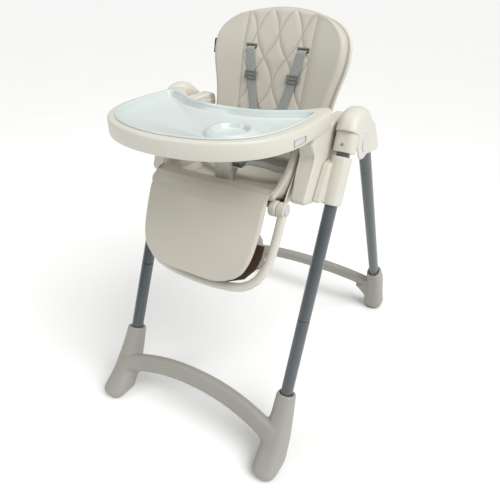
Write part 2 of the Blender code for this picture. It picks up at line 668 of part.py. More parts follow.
def build_leg_rest(swing):
    half = [(0.1795, 0.004), (0.1795, 0.040), (0.1785, 0.085), (0.173, 0.130), (0.156, 0.170),
            (0.120, 0.198), (0.060, 0.209)]
    route = [on_rest(-x, d, 0) for x, d in half]
    route += [on_rest(0, 0.2115, 0)] + [on_rest(x, d, 0) for x, d in half[::-1]]
    loop = sweep(smooth_curve(route, 2), round_rect(0.018, 0.022, 0.008, 2), REST_FRONT)
    tools, holes = [], []
    y, z = LEG_REST_HINGE.y, LEG_REST_HINGE.z
    for label, side in SIDES:
        drum = [(0.1675, 0.0175), (0.1865, 0.0175), (0.1880, 0.0160)]
        tools.append(stepped_rod([(Vector((side * x, y, z)), r) for x, r in drum], 24))
        holes.append(rod((side * 0.1640, y, z), (side * 0.1752, y, z), 0.0050 + GAP, 14))
        holes.append(rod((side * 0.1780, y, z), (side * 0.1950, y, z), 0.0118, 24))
        press = [(0.1838, 0.0114), (0.1895, 0.0114), (0.1910, 0.0100), (0.1915, 0.0070)]
        button = stepped_rod([(Vector((side * x, y, z)), r) for x, r in press], 20)
        add(f"leg_rest_button_{label}", button, "grey_button", origin=(side * 0.188, y, z))
    add("leg_rest_frame", cut(join(loop, *tools), *holes), "beige_plastic", parent=swing)
    board = [(0.0, 0.088), (0.161, 0.088), (0.160, 0.118), (0.152, 0.146), (0.130, 0.174), (0.090, 0.192),
             (0.0, 0.196)]
    add("leg_rest_board", rest_slab(board, 0.0113, 0.0145, 0), "brown_board", parent=swing)
    pad = [(0.0, 0.030), (0.157, 0.030), (0.156, 0.070), (0.150, 0.118), (0.138, 0.150), (0.112, 0.176),
           (0.070, 0.190), (0.0, 0.194)]
    add("leg_rest_pad", rest_slab(pad, 0.0148, 0.0350, 0.006), "soft_leather", parent=swing)


# ---------------------------------------------------------------- tray
TRAY_HALF = [(0.0, -0.424), (0.078, -0.414), (0.143, -0.385), (0.192, -0.337), (0.218, -0.275),
             (0.2260, -0.205), (0.2225, -0.105), (0.2200, -0.080), (0.2080, -0.064), (0.1920, -0.066),
             (0.1700, -0.092), (0.142, -0.124), (0.104, -0.152), (0.055, -0.164), (0.0, -0.168)]
LINER_HALF = [(0.0, -0.408), (0.076, -0.398), (0.138, -0.369), (0.178, -0.325), (0.199, -0.268),
              (0.2065, -0.205), (0.2065, -0.150), (0.2020, -0.126), (0.1880, -0.117), (0.168, -0.123),
              (0.139, -0.140), (0.102, -0.162), (0.055, -0.174), (0.0, -0.178)]


def plan_ring(half, inset, z):
    """Closed plan of the tray or liner at one height, offset inwards; half runs front to back."""
    closed = half + [(-x, y) for x, y in half[-2:0:-1]]
    count = len(closed)
    points = []
    for i, (x, y) in enumerate(closed):
        before, after = Vector(closed[i - 1]), Vector(closed[(i + 1) % count])
        here = Vector((x, y))
        inward = [Vector((-d.y, d.x)) for d in ((here - before).normalized(), (after - here).normalized())]
        bisector = (inward[0] + inward[1]).normalized()
        place = here + bisector * inset / max(0.75, bisector.dot(inward[0]))
        points.append(Vector((place.x, place.y, z)))
    return points


def plan_solid(half, levels):
    """Solid lofted through a plan outline at (height, inset) levels."""
    return loft([plan_ring(half, inset, z) for z, inset in levels])


def build_tray():
    base = plan_solid(TRAY_HALF, [(0.7960, 0.002), (0.8000, 0.0), (0.8270, 0.0), (0.8320, 0.004)])
    underside = plan_solid(TRAY_HALF, [(0.7900, 0.0048), (0.8150, 0.0032)])
    recess = plan_solid(LINER_HALF, [(0.8175, 0.0150), (0.8310, 0.0062), (0.8400, 0.0062)])
    channels = []
    for _, side in SIDES:
        low, high = sorted((side * 0.1770, side * 0.2190))
        channels.append(box((low, -0.216, 0.780), (high, -0.030, 0.8065)))
    grips = [catch_block(side, 0.0006, 0.0) for _, side in SIDES]
    add("tray_base", cut(base, underside, recess, *channels, *grips), "beige_plastic")
    for label, side in SIDES:
        add(f"tray_catch_{label}", catch_block(side, 0.0, 0.004), "beige_plastic",
            origin=(side * 0.222, -0.235, 0.8105))
    liner = plan_solid(LINER_HALF, [(0.8180, 0.0160), (0.8315, 0.0072), (0.8325, 0.0068), (0.8325, 0.0),
                                    (0.8355, 0.0008), (0.8355, 0.0048), (0.8200, 0.0172)])
    cup_x, cup_y = 0.100, -0.298
    hill = stepped_rod([(Vector((cup_x, cup_y, 0.8195)), 0.052), (Vector((cup_x, cup_y, 0.8275)), 0.048),
                        (Vector((cup_x, cup_y, 0.8300)), 0.043)], 28)
    well = stepped_rod([(Vector((cup_x, cup_y, 0.8196)), 0.034), (Vector((cup_x, cup_y, 0.8290)), 0.037),
                        (Vector((cup_x, cup_y, 0.8340)), 0.039)], 28)
    add("tray_liner", cut(join(liner, hill), well), "white_plastic")


def catch_block(side, room, proud):
    """Squeeze catch let into the tray's side skirt, or, with room, its window."""
    low, high = sorted((side * (0.2100 - 5 * room), side * (0.2215 + proud * 0.4 + 40 * room)))
    return box((low, -0.262 - room, 0.8020 - room), (high, -0.219 + room, 0.8140 + room))


def main():
    clear_scene()
    fold = axis_empty("fold_axis", PIVOT)
    recline = axis_empty("recline_axis", BACK_HINGE)
    swing = axis_empty("leg_rest_axis", LEG_REST_HINGE)
    rear = build_feet()
    add("rear_foot", rear, "beige_plastic", parent=fold)
    build_front_legs()
    build_hubs(fold)
    build_rear_legs(fold)
    build_seat()
    build_backrest(recline)
    build_leg_rest(swing)
    build_tray()


main()
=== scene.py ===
import math

import bmesh
import bpy
from mathutils import Matrix, Vector


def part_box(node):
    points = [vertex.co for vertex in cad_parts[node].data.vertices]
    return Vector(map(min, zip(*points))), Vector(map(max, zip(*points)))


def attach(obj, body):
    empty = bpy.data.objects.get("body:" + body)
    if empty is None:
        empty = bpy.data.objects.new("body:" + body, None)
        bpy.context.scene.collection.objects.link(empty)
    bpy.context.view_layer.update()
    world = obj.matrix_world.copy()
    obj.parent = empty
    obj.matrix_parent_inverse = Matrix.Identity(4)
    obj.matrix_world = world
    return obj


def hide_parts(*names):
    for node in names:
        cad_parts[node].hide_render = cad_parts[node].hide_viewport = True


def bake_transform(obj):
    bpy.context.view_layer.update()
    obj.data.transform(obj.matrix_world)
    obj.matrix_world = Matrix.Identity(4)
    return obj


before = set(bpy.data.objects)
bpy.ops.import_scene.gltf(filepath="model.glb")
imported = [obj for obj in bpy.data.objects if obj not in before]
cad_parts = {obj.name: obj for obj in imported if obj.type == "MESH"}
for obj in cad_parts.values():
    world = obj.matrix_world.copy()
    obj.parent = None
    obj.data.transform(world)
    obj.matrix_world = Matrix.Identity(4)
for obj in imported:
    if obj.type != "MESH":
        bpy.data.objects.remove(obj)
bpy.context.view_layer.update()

# ---------------------------------------------------------------- camera, floor and studio light
# A standing adult's view of the chair's front right corner, on a seamless white floor. A broad key
# from its right, three soft boxes and a white room light it, so shadows stay pale.
VIEW_PLACE = (0.611, -1.065, 1.106)
VIEW_TURN = math.radians(31.37)
VIEW_DOWN = math.radians(30.99)


def linked(name, data):
    """A new object of the scene at the origin."""
    made = bpy.data.objects.new(name, data)
    bpy.context.scene.collection.objects.link(made)
    return made


camera_data = bpy.data.cameras.new("studio_camera")
camera_data.lens = 34.39
camera_data.sensor_width = 36.0
camera_data.clip_start = 0.01
camera = linked("studio_camera", camera_data)
camera.location = VIEW_PLACE
camera.rotation_euler = (math.radians(90) - VIEW_DOWN, 0, VIEW_TURN)
bpy.context.scene.camera = camera


def linear(code):
    """Linear red, green, blue and alpha of an sRGB hex colour."""
    parts = [int(code[i:i + 2], 16) / 255 for i in (1, 3, 5)]
    return [c / 12.92 if c <= 0.04045 else ((c + 0.055) / 1.055) ** 2.4 for c in parts] + [1.0]


def put(tree, kind, inputs=None, **settings):
    """Adds one node to a tree with its settings; an input takes a value or another node's socket."""
    made = tree.nodes.new(kind)
    for key, value in settings.items():
        setattr(made, key, value)
    for key, value in (inputs or {}).items():
        if isinstance(value, bpy.types.NodeSocket):
            tree.links.new(value, made.inputs[key])
        else:
            made.inputs[key].default_value = value
    return made


def new_material(name):
    """An empty material, its tree and its shader."""
    material = bpy.data.materials.new(name)
    material.use_nodes = True
    return material, material.node_tree, material.node_tree.nodes["Principled BSDF"]


# Matt white vinyl roll, laid flat: almost no sheen.
floor_vinyl, tree, shader = new_material("matt_white_vinyl_floor")
grain = put(tree, "ShaderNodeTexNoise", {"Scale": 3.0, "Detail": 3.0, "Vector":
            put(tree, "ShaderNodeTexCoord").outputs["Object"]})
tone = put(tree, "ShaderNodeMix", {"Factor": grain.outputs["Fac"], "A": linear("#F4F4F3"),
                                   "B": linear("#F8F8F7")}, data_type="RGBA")
tree.links.new(tone.outputs["Result"], shader.inputs["Base Color"])
shader.inputs["Roughness"].default_value = 0.9
bm = bmesh.new()
bmesh.ops.create_grid(bm, x_segments=2, y_segments=2, size=40.0)
floor_mesh = bpy.data.meshes.new("studio_floor")
bm.to_mesh(floor_mesh)
bm.free()
floor_mesh.materials.append(floor_vinyl)
floor = linked("studio_floor", floor_mesh)

room = bpy.data.worlds.new("white_room")
room.use_nodes = True
room.node_tree.nodes["Background"].inputs["Color"].default_value = (1.0, 1.0, 1.0, 1.0)
room.node_tree.nodes["Background"].inputs["Strength"].default_value = 0.46
bpy.context.scene.world = room
bpy.context.scene.view_settings.view_transform = "Standard"


def lamp(name, kind, place, power, spread):
    """One studio lamp aimed at the middle of the chair; spread is a sun's angle or a soft box's side."""
    light = bpy.data.lights.new(name, kind)
    light.energy = power
    if kind == "SUN":
        light.angle = spread
    else:
        light.size = spread
    made = linked(name, light)
    made.location = place
    made.rotation_euler = (Vector((0, 0, 0.55)) - Vector(place)).to_track_quat("-Z", "Y").to_euler()


lamp("bounced_key", "SUN", (2.3, -0.5, 3.3), 2.35, math.radians(45))
lamp("key_soft_box", "AREA", (-1.5, -1.8, 2.2), 12.0, 1.0)
lamp("side_soft_box", "AREA", (2.3, -0.3, 1.7), 5.0, 0.9)
lamp("top_soft_box", "AREA", (0.0, 0.3, 2.8), 8.0, 1.2)

# ---------------------------------------------------------------- feet
# Each pair of legs stands in one arched foot: two flared boots and the bar between them, blown or
# moulded in one from polypropylene. Its joins run into each other with large smooth fillets.


def moulded(name, colour, other, grain_mm, roughness):
    """Injection-moulded plastic whose mould was spark eroded: a fine even grain and a slow drift of tone."""
    material, tree, shader = new_material(name)
    where = put(tree, "ShaderNodeTexCoord").outputs["Object"]
    drift = put(tree, "ShaderNodeTexNoise", {"Vector": where, "Scale": 9.0, "Detail": 2.0})
    tone = put(tree, "ShaderNodeMix", {"Factor": drift.outputs["Fac"], "A": linear(colour),
                                       "B": linear(other)}, data_type="RGBA")
    grain = put(tree, "ShaderNodeTexNoise", {"Vector": where, "Scale": 1000.0 / grain_mm, "Detail": 3.0,
                                             "Roughness": 0.6})
    rough = put(tree, "ShaderNodeMapRange", {"Value": grain.outputs["Fac"], "To Min": roughness - 0.05,
                                             "To Max": roughness + 0.07})
    bump = put(tree, "ShaderNodeBump", {"Height": grain.outputs["Fac"], "Strength": 0.10,
                                        "Distance": 0.0002})
    tree.links.new(tone.outputs["Result"], shader.inputs["Base Color"])
    tree.links.new(rough.outputs["Result"], shader.inputs["Roughness"])
    tree.links.new(bump.outputs["Normal"], shader.inputs["Normal"])
    shader.inputs["IOR"].default_value = 1.49
    return material


# The cream polypropylene with painted shade: darker grey for the feet, coarse spark finish, a soft broad
# highlight.
foot_polypropylene_painted_shade = moulded("cream_polypropylene_painted_darker", "#93918A", "#9C9A92", 0.9, 0.46)
# The same plastic in warm cream, finer finish: a little glossier.
cream_polypropylene = moulded("cream_moulded_polypropylene", "#C9C6BB", "#D0CDC2", 0.8, 0.38)


def cad_copy(node):
    """A merged copy of a CAD node's mesh."""
    bm = bmesh.new()
    bm.from_mesh(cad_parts[node].data)
    bmesh.ops.remove_doubles(bm, verts=bm.verts, dist=1e-5)
    return bm


def piece(name, bm, material, body, sharp=40.0):
    """Makes a bmesh a smooth-shaded piece in the given material that rides on a body, if one is given."""
    mesh = bpy.data.meshes.new(name)
    bm.to_mesh(mesh)
    bm.free()
    mesh.materials.append(material)
    mesh.shade_smooth()
    mesh.set_sharp_from_angle(angle=math.radians(sharp))
    made = linked(name, mesh)
    if body:
        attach(made, body)
    return made


def applied(made):
    """The bmesh of an object with its modifiers worked in; the object is removed."""
    graph = bpy.context.evaluated_depsgraph_get()
    mesh = bpy.data.meshes.new_from_object(made.evaluated_get(graph))
    bpy.data.objects.remove(made, do_unlink=True)
    bm = bmesh.new()
    bm.from_mesh(mesh)
    bpy.data.meshes.remove(mesh)
    return bm


def softened(bm, voxel, passes):
    """The solid remade from small cubes and smoothed, so that its edges turn into fillets."""
    mesh = bpy.data.meshes.new("blank")
    bm.to_mesh(mesh)
    bm.free()
    blank = linked("blank", mesh)
    remesh = blank.modifiers.new("remesh", "REMESH")
    remesh.mode = "VOXEL"
    remesh.voxel_size = voxel
    smooth = blank.modifiers.new("smooth", "SMOOTH")
    smooth.iterations = passes
    smooth.factor = 0.5
    return applied(blank)


def skinned(rings):
    """Closed solid through rings of points with equal counts, flat at both ends."""
    bm = bmesh.new()
    rows = [[bm.verts.new(point) for point in ring] for ring in rings]
    count = len(rows[0])
    for low, high in zip(rows, rows[1:]):
        for i in range(count):
            j = (i + 1) % count
            bm.faces.new((low[i], low[j], high[j], high[i]))
    bm.faces.new(rows[0][::-1])
    bm.faces.new(rows[-1])
    bmesh.ops.recalc_face_normals(bm, faces=bm.faces)
    return bm


WEB_HALF = 0.010
WEB_RISE = 0.020


def web(side, inner, outer, low_y, low_z, high_y, high_z):
    """Gusset that fills the corner between a boot and the bar: a flat wedge, later softened."""
    corners = ((inner, high_y, high_z), (outer, high_y, high_z + WEB_RISE), (outer, low_y, low_z))
    return skinned([[(side * x, y + shift, z) for x, y, z in corners] for shift in (-WEB_HALF, WEB_HALF)])


def together(*parts):
    """One bmesh of several closed shells."""
    mesh = bpy.data.meshes.new("parts")
    total = bmesh.new()
    for part in parts:
        part.to_mesh(mesh)
        part.free()
        total.from_mesh(mesh)
    bpy.data.meshes.remove(mesh)
    return total


# Each foot's gusset: inner and outer x, then y and z at its low and its high end.
FOOT_WEBS = {"front_foot": (0.188, 0.236, -0.366, 0.036, -0.352, 0.082),
             "rear_foot": (0.186, 0.236, 0.396, 0.036, 0.392, 0.078)}
for name, body in (("front_foot", "front_frame"), ("rear_foot", "rear_frame")):
    webs = [web(side, *FOOT_WEBS[name]) for side in (-1, 1)]
    solid = softened(together(cad_copy(name), *webs), 0.0026, 22)
    foot = piece(name + "_moulding", solid, foot_polypropylene_painted_shade, body, 180.0)
    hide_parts(name)


def coat(nodes, material):
    """Gives CAD nodes whose shape is right their real material."""
    for node in nodes:
        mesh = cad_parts[node].data
        mesh.materials.clear()
        mesh.materials.append(material)


SIDES = (("left", -1), ("right", 1))

# ---------------------------------------------------------------- soles and foot screws
# A pad of black natural rubber is glued under each boot so the chair doesn't slide, and one
# zinc-plated screw holds each rear foot to its leg.

# Natural rubber, pressed: matt, with a slightly dusty bloom.
pressed_rubber, tree, shader = new_material("pressed_black_rubber")
where = put(tree, "ShaderNodeTexCoord").outputs["Object"]
bloom = put(tree, "ShaderNodeTexNoise", {"Vector": where, "Scale": 60.0, "Detail": 4.0})
tone = put(tree, "ShaderNodeMix", {"Factor": bloom.outputs["Fac"], "A": linear("#1E1E1E"),
                                   "B": linear("#2C2B2A")}, data_type="RGBA")
bump = put(tree, "ShaderNodeBump", {"Height": bloom.outputs["Fac"], "Strength": 0.2, "Distance": 0.0004})
tree.links.new(tone.outputs["Result"], shader.inputs["Base Color"])
tree.links.new(bump.outputs["Normal"], shader.inputs["Normal"])
shader.inputs["Roughness"].default_value = 0.85
shader.inputs["IOR"].default_value = 1.52

# Steel, turned and zinc plated: bright grey with a faint milky mottle.
zinc_plate, tree, shader = new_material("zinc_plated_turned_steel")
where = put(tree, "ShaderNodeTexCoord").outputs["Object"]
milk = put(tree, "ShaderNodeTexNoise", {"Vector": where, "Scale": 400.0, "Detail": 3.0})
tone = put(tree, "ShaderNodeMix", {"Factor": milk.outputs["Fac"], "A": linear("#A9ACB0"),
                                   "B": linear("#C4C6C8")}, data_type="RGBA")
rough = put(tree, "ShaderNodeMapRange", {"Value": milk.outputs["Fac"], "To Min": 0.25, "To Max": 0.42})
tree.links.new(tone.outputs["Result"], shader.inputs["Base Color"])
tree.links.new(rough.outputs["Result"], shader.inputs["Roughness"])
shader.inputs["Metallic"].default_value = 1.0

coat([f"{end}_sole_{label}" for end in ("front", "rear") for label, _ in SIDES], pressed_rubber)
coat([f"{name}_{label}" for name in ("rear_foot_screw", "fold_pin", "leg_rest_pin", "backrest_pin")
      for label, _ in SIDES], zinc_plate)

# ---------------------------------------------------------------- legs
# Oval steel tube, 30 by 38 mm, powder coated dark grey. The front legs are in two lengths, the lower
# one necked into the upper; a round spring pin in each rear leg's outer face locks it in its hub.

# Powder coat on steel: dark blue-grey film with a light orange peel and a clear, long highlight.
powder_coat, tree, shader = new_material("grey_powder_coated_steel")
where = put(tree, "ShaderNodeTexCoord").outputs["Object"]
peel = put(tree, "ShaderNodeTexNoise", {"Vector": where, "Scale": 700.0, "Detail": 2.0})
cloud = put(tree, "ShaderNodeTexNoise", {"Vector": where, "Scale": 14.0, "Detail": 3.0})
tone = put(tree, "ShaderNodeMix", {"Factor": cloud.outputs["Fac"], "A": linear("#4B5255"),
                                   "B": linear("#596063")}, data_type="RGBA")
rough = put(tree, "ShaderNodeMapRange", {"Value": cloud.outputs["Fac"], "To Min": 0.24, "To Max": 0.36})
bump = put(tree, "ShaderNodeBump", {"Height": peel.outputs["Fac"], "Strength": 0.12, "Distance": 0.0002})
tree.links.new(tone.outputs["Result"], shader.inputs["Base Color"])
tree.links.new(rough.outputs["Result"], shader.inputs["Roughness"])
tree.links.new(bump.outputs["Normal"], shader.inputs["Normal"])
shader.inputs["Metallic"].default_value = 0.35
shader.inputs["Coat Weight"].default_value = 0.35
shader.inputs["Coat Roughness"].default_value = 0.18
coat([f"{name}_{label}" for name in ("front_leg_lower", "front_leg_upper", "rear_leg")
      for label, _ in SIDES], powder_coat)

REAR_LEAN = math.radians(28.4)
REAR_JOIN = Vector((0, 0.373, 0.167))
REAR_DIR = Vector((0, -math.sin(REAR_LEAN), math.cos(REAR_LEAN)))


def lathe(profile, place, along, count=28):
    """Closed turned solid: profile is (distance along the axis, radius) from end to end."""
    along = Vector(along).normalized()
    u = along.orthogonal().normalized()
    v = along.cross(u)
    turns = [2 * math.pi * i / count for i in range(count)]
    return skinned([[Vector(place) + along * s + (u * math.cos(a) + v * math.sin(a)) * r for a in turns]
                    for s, r in profile])


for label, side in SIDES:
    dot = REAR_JOIN + REAR_DIR * 0.155 + Vector((side * 0.2652, 0, 0))
    profile = [(-0.003, 0.0048), (-0.0003, 0.0048), (0.0012, 0.0042), (0.0018, 0.0022)]
    pin = lathe(profile, dot, (side, 0, 0), 20)
    piece(f"rear_leg_spring_pin_{label}", pin, zinc_plate, "rear_frame")

# ---------------------------------------------------------------- hubs and fold buttons
# A cream hood covers each fold joint. Below it a sleeve takes the front leg's top, and a knuckle on
# the rear leg turns inside. A round press button in the outer face frees the fold.
coat([f"rear_knuckle_{label}" for label, _ in SIDES], cream_polypropylene)
PIVOT = Vector((0, 0.0, 0.748))
HOOD_IN, HOOD_OUT = 0.2245, 0.2765
HOOD_WALL = 0.0042
CROWN = (-0.015, 0.013)
CROWN_RADIUS = 0.0690
BOSS_RADIUS = 0.043


def at_hub(y, z):
    """Side-view point from the hub's axis."""
    return PIVOT.y + y, PIVOT.z + z


def arc(centre, radius, start, end, steps):
    """Side-view points on a circle by the hub, angles in degrees from +y towards +z."""
    turns = [math.radians(start + (end - start) * i / steps) for i in range(steps + 1)]
    return [at_hub(centre[0] + radius * math.cos(a), centre[1] + radius * math.sin(a)) for a in turns]


def domed(outline, pull, x0, x1, zone, depth, steps=9):
    """Side-view outline in (y, z) lofted across the chair. Near each side face it draws in towards the
    pivot along a quarter ellipse, by depth times each point's pull."""
    turns = [math.pi / 2 * k / steps for k in range(steps + 1)]
    across = [(x0 + zone * (1 - math.cos(a)), 1 - math.sin(a)) for a in turns]
    across += [(x1 - zone * (1 - math.cos(a)), 1 - math.sin(a)) for a in turns[::-1]]
    rings = []
    for x, inward in across:
        ring = []
        for (y, z), share in zip(outline, pull):
            out = Vector((0, y - PIVOT.y, z - PIVOT.z))
            point = PIVOT + out - out.normalized() * depth * inward * share
            ring.append((x, point.y, point.z))
        rings.append(ring)
    return skinned(rings)


def worked(bm, operation, *tools):
    """The solid with every tool joined to it or cut out of it."""
    for tool_bm in tools:
        made = []
        for part in (bm, tool_bm):
            mesh = bpy.data.meshes.new("stock")
            part.to_mesh(mesh)
            part.free()
            made.append(linked("stock", mesh))
        stock, tool = made
        modifier = stock.modifiers.new("work", "BOOLEAN")
        modifier.operation, modifier.solver, modifier.object = operation, "EXACT", tool
        bm = applied(stock)
        bpy.data.objects.remove(tool, do_unlink=True)
    return bm


def hood_solid(side):
    """Hood with broad rounded edges, hollow below, with an eye for the press button."""
    outside = (arc(CROWN, CROWN_RADIUS, 153, 40, 26) + [at_hub(0.0752, 0.030), at_hub(0.0990, -0.010),
               at_hub(0.1170, -0.042), at_hub(0.1050, -0.049)] + arc((0, 0), BOSS_RADIUS, -60, -150, 14)
               + [at_hub(-0.048, -0.004), at_hub(-0.048, 0.020), at_hub(-0.057, 0.034)])
    inside = (arc(CROWN, CROWN_RADIUS - 0.0040, 153, 42, 20) + [at_hub(0.0715, 0.027),
              at_hub(0.1120, -0.043), at_hub(0.140, -0.090), at_hub(-0.100, -0.090), at_hub(-0.110, 0.0)])
    low, high = sorted((side * HOOD_IN, side * HOOD_OUT))
    # The crown draws in fully towards the side faces, the boss and the open underside hardly at all.
    outside_pull = [1.0] * 27 + [0.85, 0.6, 0.35, 0.3] + [0.25] * 15 + [0.25, 0.3, 0.6]
    inside_pull = [1.0] * 21 + [0.8, 0.4, 0.0, 0.0, 0.0]
    shell = softened(domed(outside, outside_pull, low, high, 0.0235, 0.0180), 0.0013, 6)
    hollow = softened(domed(inside, inside_pull, low + HOOD_WALL, high - HOOD_WALL, 0.019, 0.0135), 0.0022, 4)
    eye = lathe([(0.258, 0.0216), (0.290, 0.0216)], PIVOT, (side, 0, 0), 48)
    return worked(shell, "DIFFERENCE", hollow, eye)


for label, side in SIDES:
    hood = piece(f"hub_hood_{label}", hood_solid(side), cream_polypropylene, "front_frame",
                 45.0)
    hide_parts(f"hub_cover_{label}")

# ABS in pale grey, polished mould: the buttons look cleaner and cooler than the hoods.
button_abs = moulded("pale_grey_moulded_abs", "#BFC0BF", "#C8C9C8", 0.6, 0.34)
for label, side in SIDES:
    profile = [(0.2700, 0.0210), (0.2772, 0.0210), (0.2784, 0.0204), (0.2791, 0.0192), (0.2793, 0.0176),
               (0.2790, 0.0164), (0.2788, 0.0120), (0.2787, 0.0040)]
    press = piece(f"fold_press_button_{label}", lathe(profile, PIVOT, (side, 0, 0), 48), button_abs,
                  f"fold_button_{label}")
    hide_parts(f"fold_button_{label}")

FRONT_LEAN = math.radians(22.5)
FRONT_JOIN = Vector((0, -0.298, 0.176))
FRONT_DIR = Vector((0, math.sin(FRONT_LEAN), math.cos(FRONT_LEAN)))
FRONT_ACROSS = Vector((0, math.cos(FRONT_LEAN), -math.sin(FRONT_LEAN)))
SLEEVE_LOW, SLEEVE_HIGH = 0.608, 0.668


def oval_sleeve(centre, levels, count=64):
    """Sleeve along the leg: levels of (distance up the leg, half width, half depth), a squarish oval."""
    rings = []
    for up, wide, deep in levels:
        ring = []
        for k in range(count):
            a = 2 * math.pi * k / count
            x = wide * math.copysign(abs(math.cos(a)) ** 0.62, math.cos(a))
            y = deep * math.copysign(abs(math.sin(a)) ** 0.62, math.sin(a))
            ring.append(centre + FRONT_DIR * up + FRONT_ACROSS * y + Vector((x, 0, 0)))
        rings.append(ring)
    return skinned(rings)


for label, side in SIDES:
    levels = [(SLEEVE_LOW, 0.0228, 0.0212), (SLEEVE_LOW + 0.0006, 0.0236, 0.0219),
              (SLEEVE_LOW + 0.002, 0.0240, 0.0223), (SLEEVE_LOW + 0.030, 0.0246, 0.0232),
              (SLEEVE_HIGH, 0.0246, 0.0232)]
    sleeve = piece(f"hub_sleeve_{label}", oval_sleeve(FRONT_JOIN + Vector((side * 0.2503, 0, 0)), levels),
                   cream_polypropylene, "front_frame", 50.0)
    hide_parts(f"hub_socket_{label}")
for label, side in SIDES:
    head = FRONT_JOIN + FRONT_DIR * (SLEEVE_LOW + 0.016) - FRONT_ACROSS * 0.0226
    head += Vector((side * 0.250, 0, 0))
    screw = lathe([(-0.001, 0.0036), (0.0006, 0.0036), (0.0014, 0.0030), (0.0015, 0.0014), (0.0004, 0.0013)],
                  head, -FRONT_ACROSS, 24)
    piece(f"hub_socket_screw_{label}", screw, zinc_plate, "front_frame")

# ---------------------------------------------------------------- armrests, height sliders and levers
# Each armrest and its bracket are one cream moulding. The slider is an oval sleeve on the front leg
# with a grey lever behind it that frees its latch, so the seat can be moved up and down.
for label, side in SIDES:
    for node, name, voxel, passes in ((f"armrest_{label}", f"armrest_moulding_{label}", 0.0020, 12),
                                      (f"height_slider_{label}", f"slider_moulding_{label}", 0.0018, 8)):
        solid = softened(cad_copy(node), voxel, passes)
        made = piece(name, solid, cream_polypropylene, "seat", 180.0)
        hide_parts(node)


RIB_PITCH = 0.005
RIB_HIGH = 0.0007


def ribbed_pad(node, name, along, out, count, body):
    """A CAD lever softened, with a row of small finger ribs raised across it."""
    low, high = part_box(node)
    bm = softened(cad_copy(node), 0.0010, 4)
    for vert in bm.verts:
        travel = (vert.co - (low + high) / 2).dot(along)
        if vert.normal.dot(out) > 0.6 and abs(travel) < count * RIB_PITCH / 2:
            vert.co += out * RIB_HIGH * max(0.0, math.cos(travel * 2 * math.pi / RIB_PITCH))
    made = piece(name, bm, button_abs, body, 180.0)
    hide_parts(node)


for label, side in SIDES:
    ribbed_pad(f"height_lever_{label}", f"height_lever_pad_{label}", FRONT_DIR, FRONT_ACROSS, 7,
               f"height_lever_{label}")

# ---------------------------------------------------------------- seat shell and crotch post
# The bucket that carries the child is a thin cream shell. A ribbed tongue stands up between the
# legs so the child can't slide out under the tray.
shell = piece("seat_bucket", softened(cad_copy("seat_shell"), 0.0019, 5), cream_polypropylene, "seat",
              180.0)
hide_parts("seat_shell")
bm = softened(cad_copy("crotch_post"), 0.0012, 8)
low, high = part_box("crotch_post")
for vert in bm.verts:
    fade = min(1.0, max(0.0, (vert.co.z - 0.652) / 0.01))
    fade *= min(1.0, max(0.0, (high.z - 0.010 - vert.co.z) / 0.006))
    rib = max(0.0, math.cos(vert.co.x * 2 * math.pi / 0.0095)) ** 2
    if abs(vert.co.x) < 0.0185 and abs(vert.normal.y) > 0.6:
        vert.co.y += 0.0011 * rib * fade * (1 if vert.normal.y > 0 else -1)
post = piece("crotch_tongue", bm, cream_polypropylene, "seat", 180.0)
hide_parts("crotch_post")

# ---------------------------------------------------------------- leather covers
# The back pad, seat and leg rest are foam in soft artificial leather, sewn in panels and piped round
# the edges. The back pad's middle panel is quilted in tall diamonds; its side panels are plain.

# Polyurethane leather, embossed with a fine pebble: soft satin sheen, with painted shade greying it down in
# the stitching.
soft_leather, tree, shader = new_material("embossed_cream_artificial_leather")
where = put(tree, "ShaderNodeTexCoord").outputs["Object"]
pebble = put(tree, "ShaderNodeTexVoronoi", {"Vector": where, "Scale": 900.0}, feature="SMOOTH_F1")
crease = put(tree, "ShaderNodeTexNoise", {"Vector": where, "Scale": 70.0, "Detail": 4.0, "Roughness": 0.55})
drift = put(tree, "ShaderNodeTexNoise", {"Vector": where, "Scale": 7.0, "Detail": 2.0})
tone = put(tree, "ShaderNodeMix", {"Factor": drift.outputs["Fac"], "A": linear("#B9B5A9"),
                                   "B": linear("#C1BDB1")}, data_type="RGBA")
# Painted shade: the seam attribute greys the leather towards #9A9588 in the stitching grooves, hems and strap
# slits.
seam_shade = put(tree, "ShaderNodeAttribute", attribute_name="seam")
sewn = put(tree, "ShaderNodeMix", {"Factor": seam_shade.outputs["Fac"], "A": tone.outputs["Result"],
                                   "B": linear("#9A9588")}, data_type="RGBA")
rough = put(tree, "ShaderNodeMapRange", {"Value": crease.outputs["Fac"], "To Min": 0.40, "To Max": 0.56})
fine = put(tree, "ShaderNodeBump", {"Height": pebble.outputs["Distance"], "Strength": 0.14,
                                    "Distance": 0.0003})
broad = put(tree, "ShaderNodeBump", {"Height": crease.outputs["Fac"], "Strength": 0.22, "Distance": 0.0010,
                                     "Normal": fine.outputs["Normal"]})
tree.links.new(sewn.outputs["Result"], shader.inputs["Base Color"])
tree.links.new(rough.outputs["Result"], shader.inputs["Roughness"])
tree.links.new(broad.outputs["Normal"], shader.inputs["Normal"])
shader.inputs["IOR"].default_value = 1.47
shader.inputs["Sheen Weight"].default_value = 0.08

# Bonded polyester thread, twisted: a touch whiter than the leather.
sewing_thread, tree, shader = new_material("twisted_polyester_sewing_thread")
where = put(tree, "ShaderNodeTexCoord").outputs["Object"]
twist = put(tree, "ShaderNodeTexWave", {"Vector": where, "Scale": 900.0, "Distortion": 1.0})
tone = put(tree, "ShaderNodeMix", {"Factor": twist.outputs["Fac"], "A": linear("#BDB9AE"),
                                   "B": linear("#D8D5CB")}, data_type="RGBA")
tree.links.new(tone.outputs["Result"], shader.inputs["Base Color"])
shader.inputs["Roughness"].default_value = 0.7

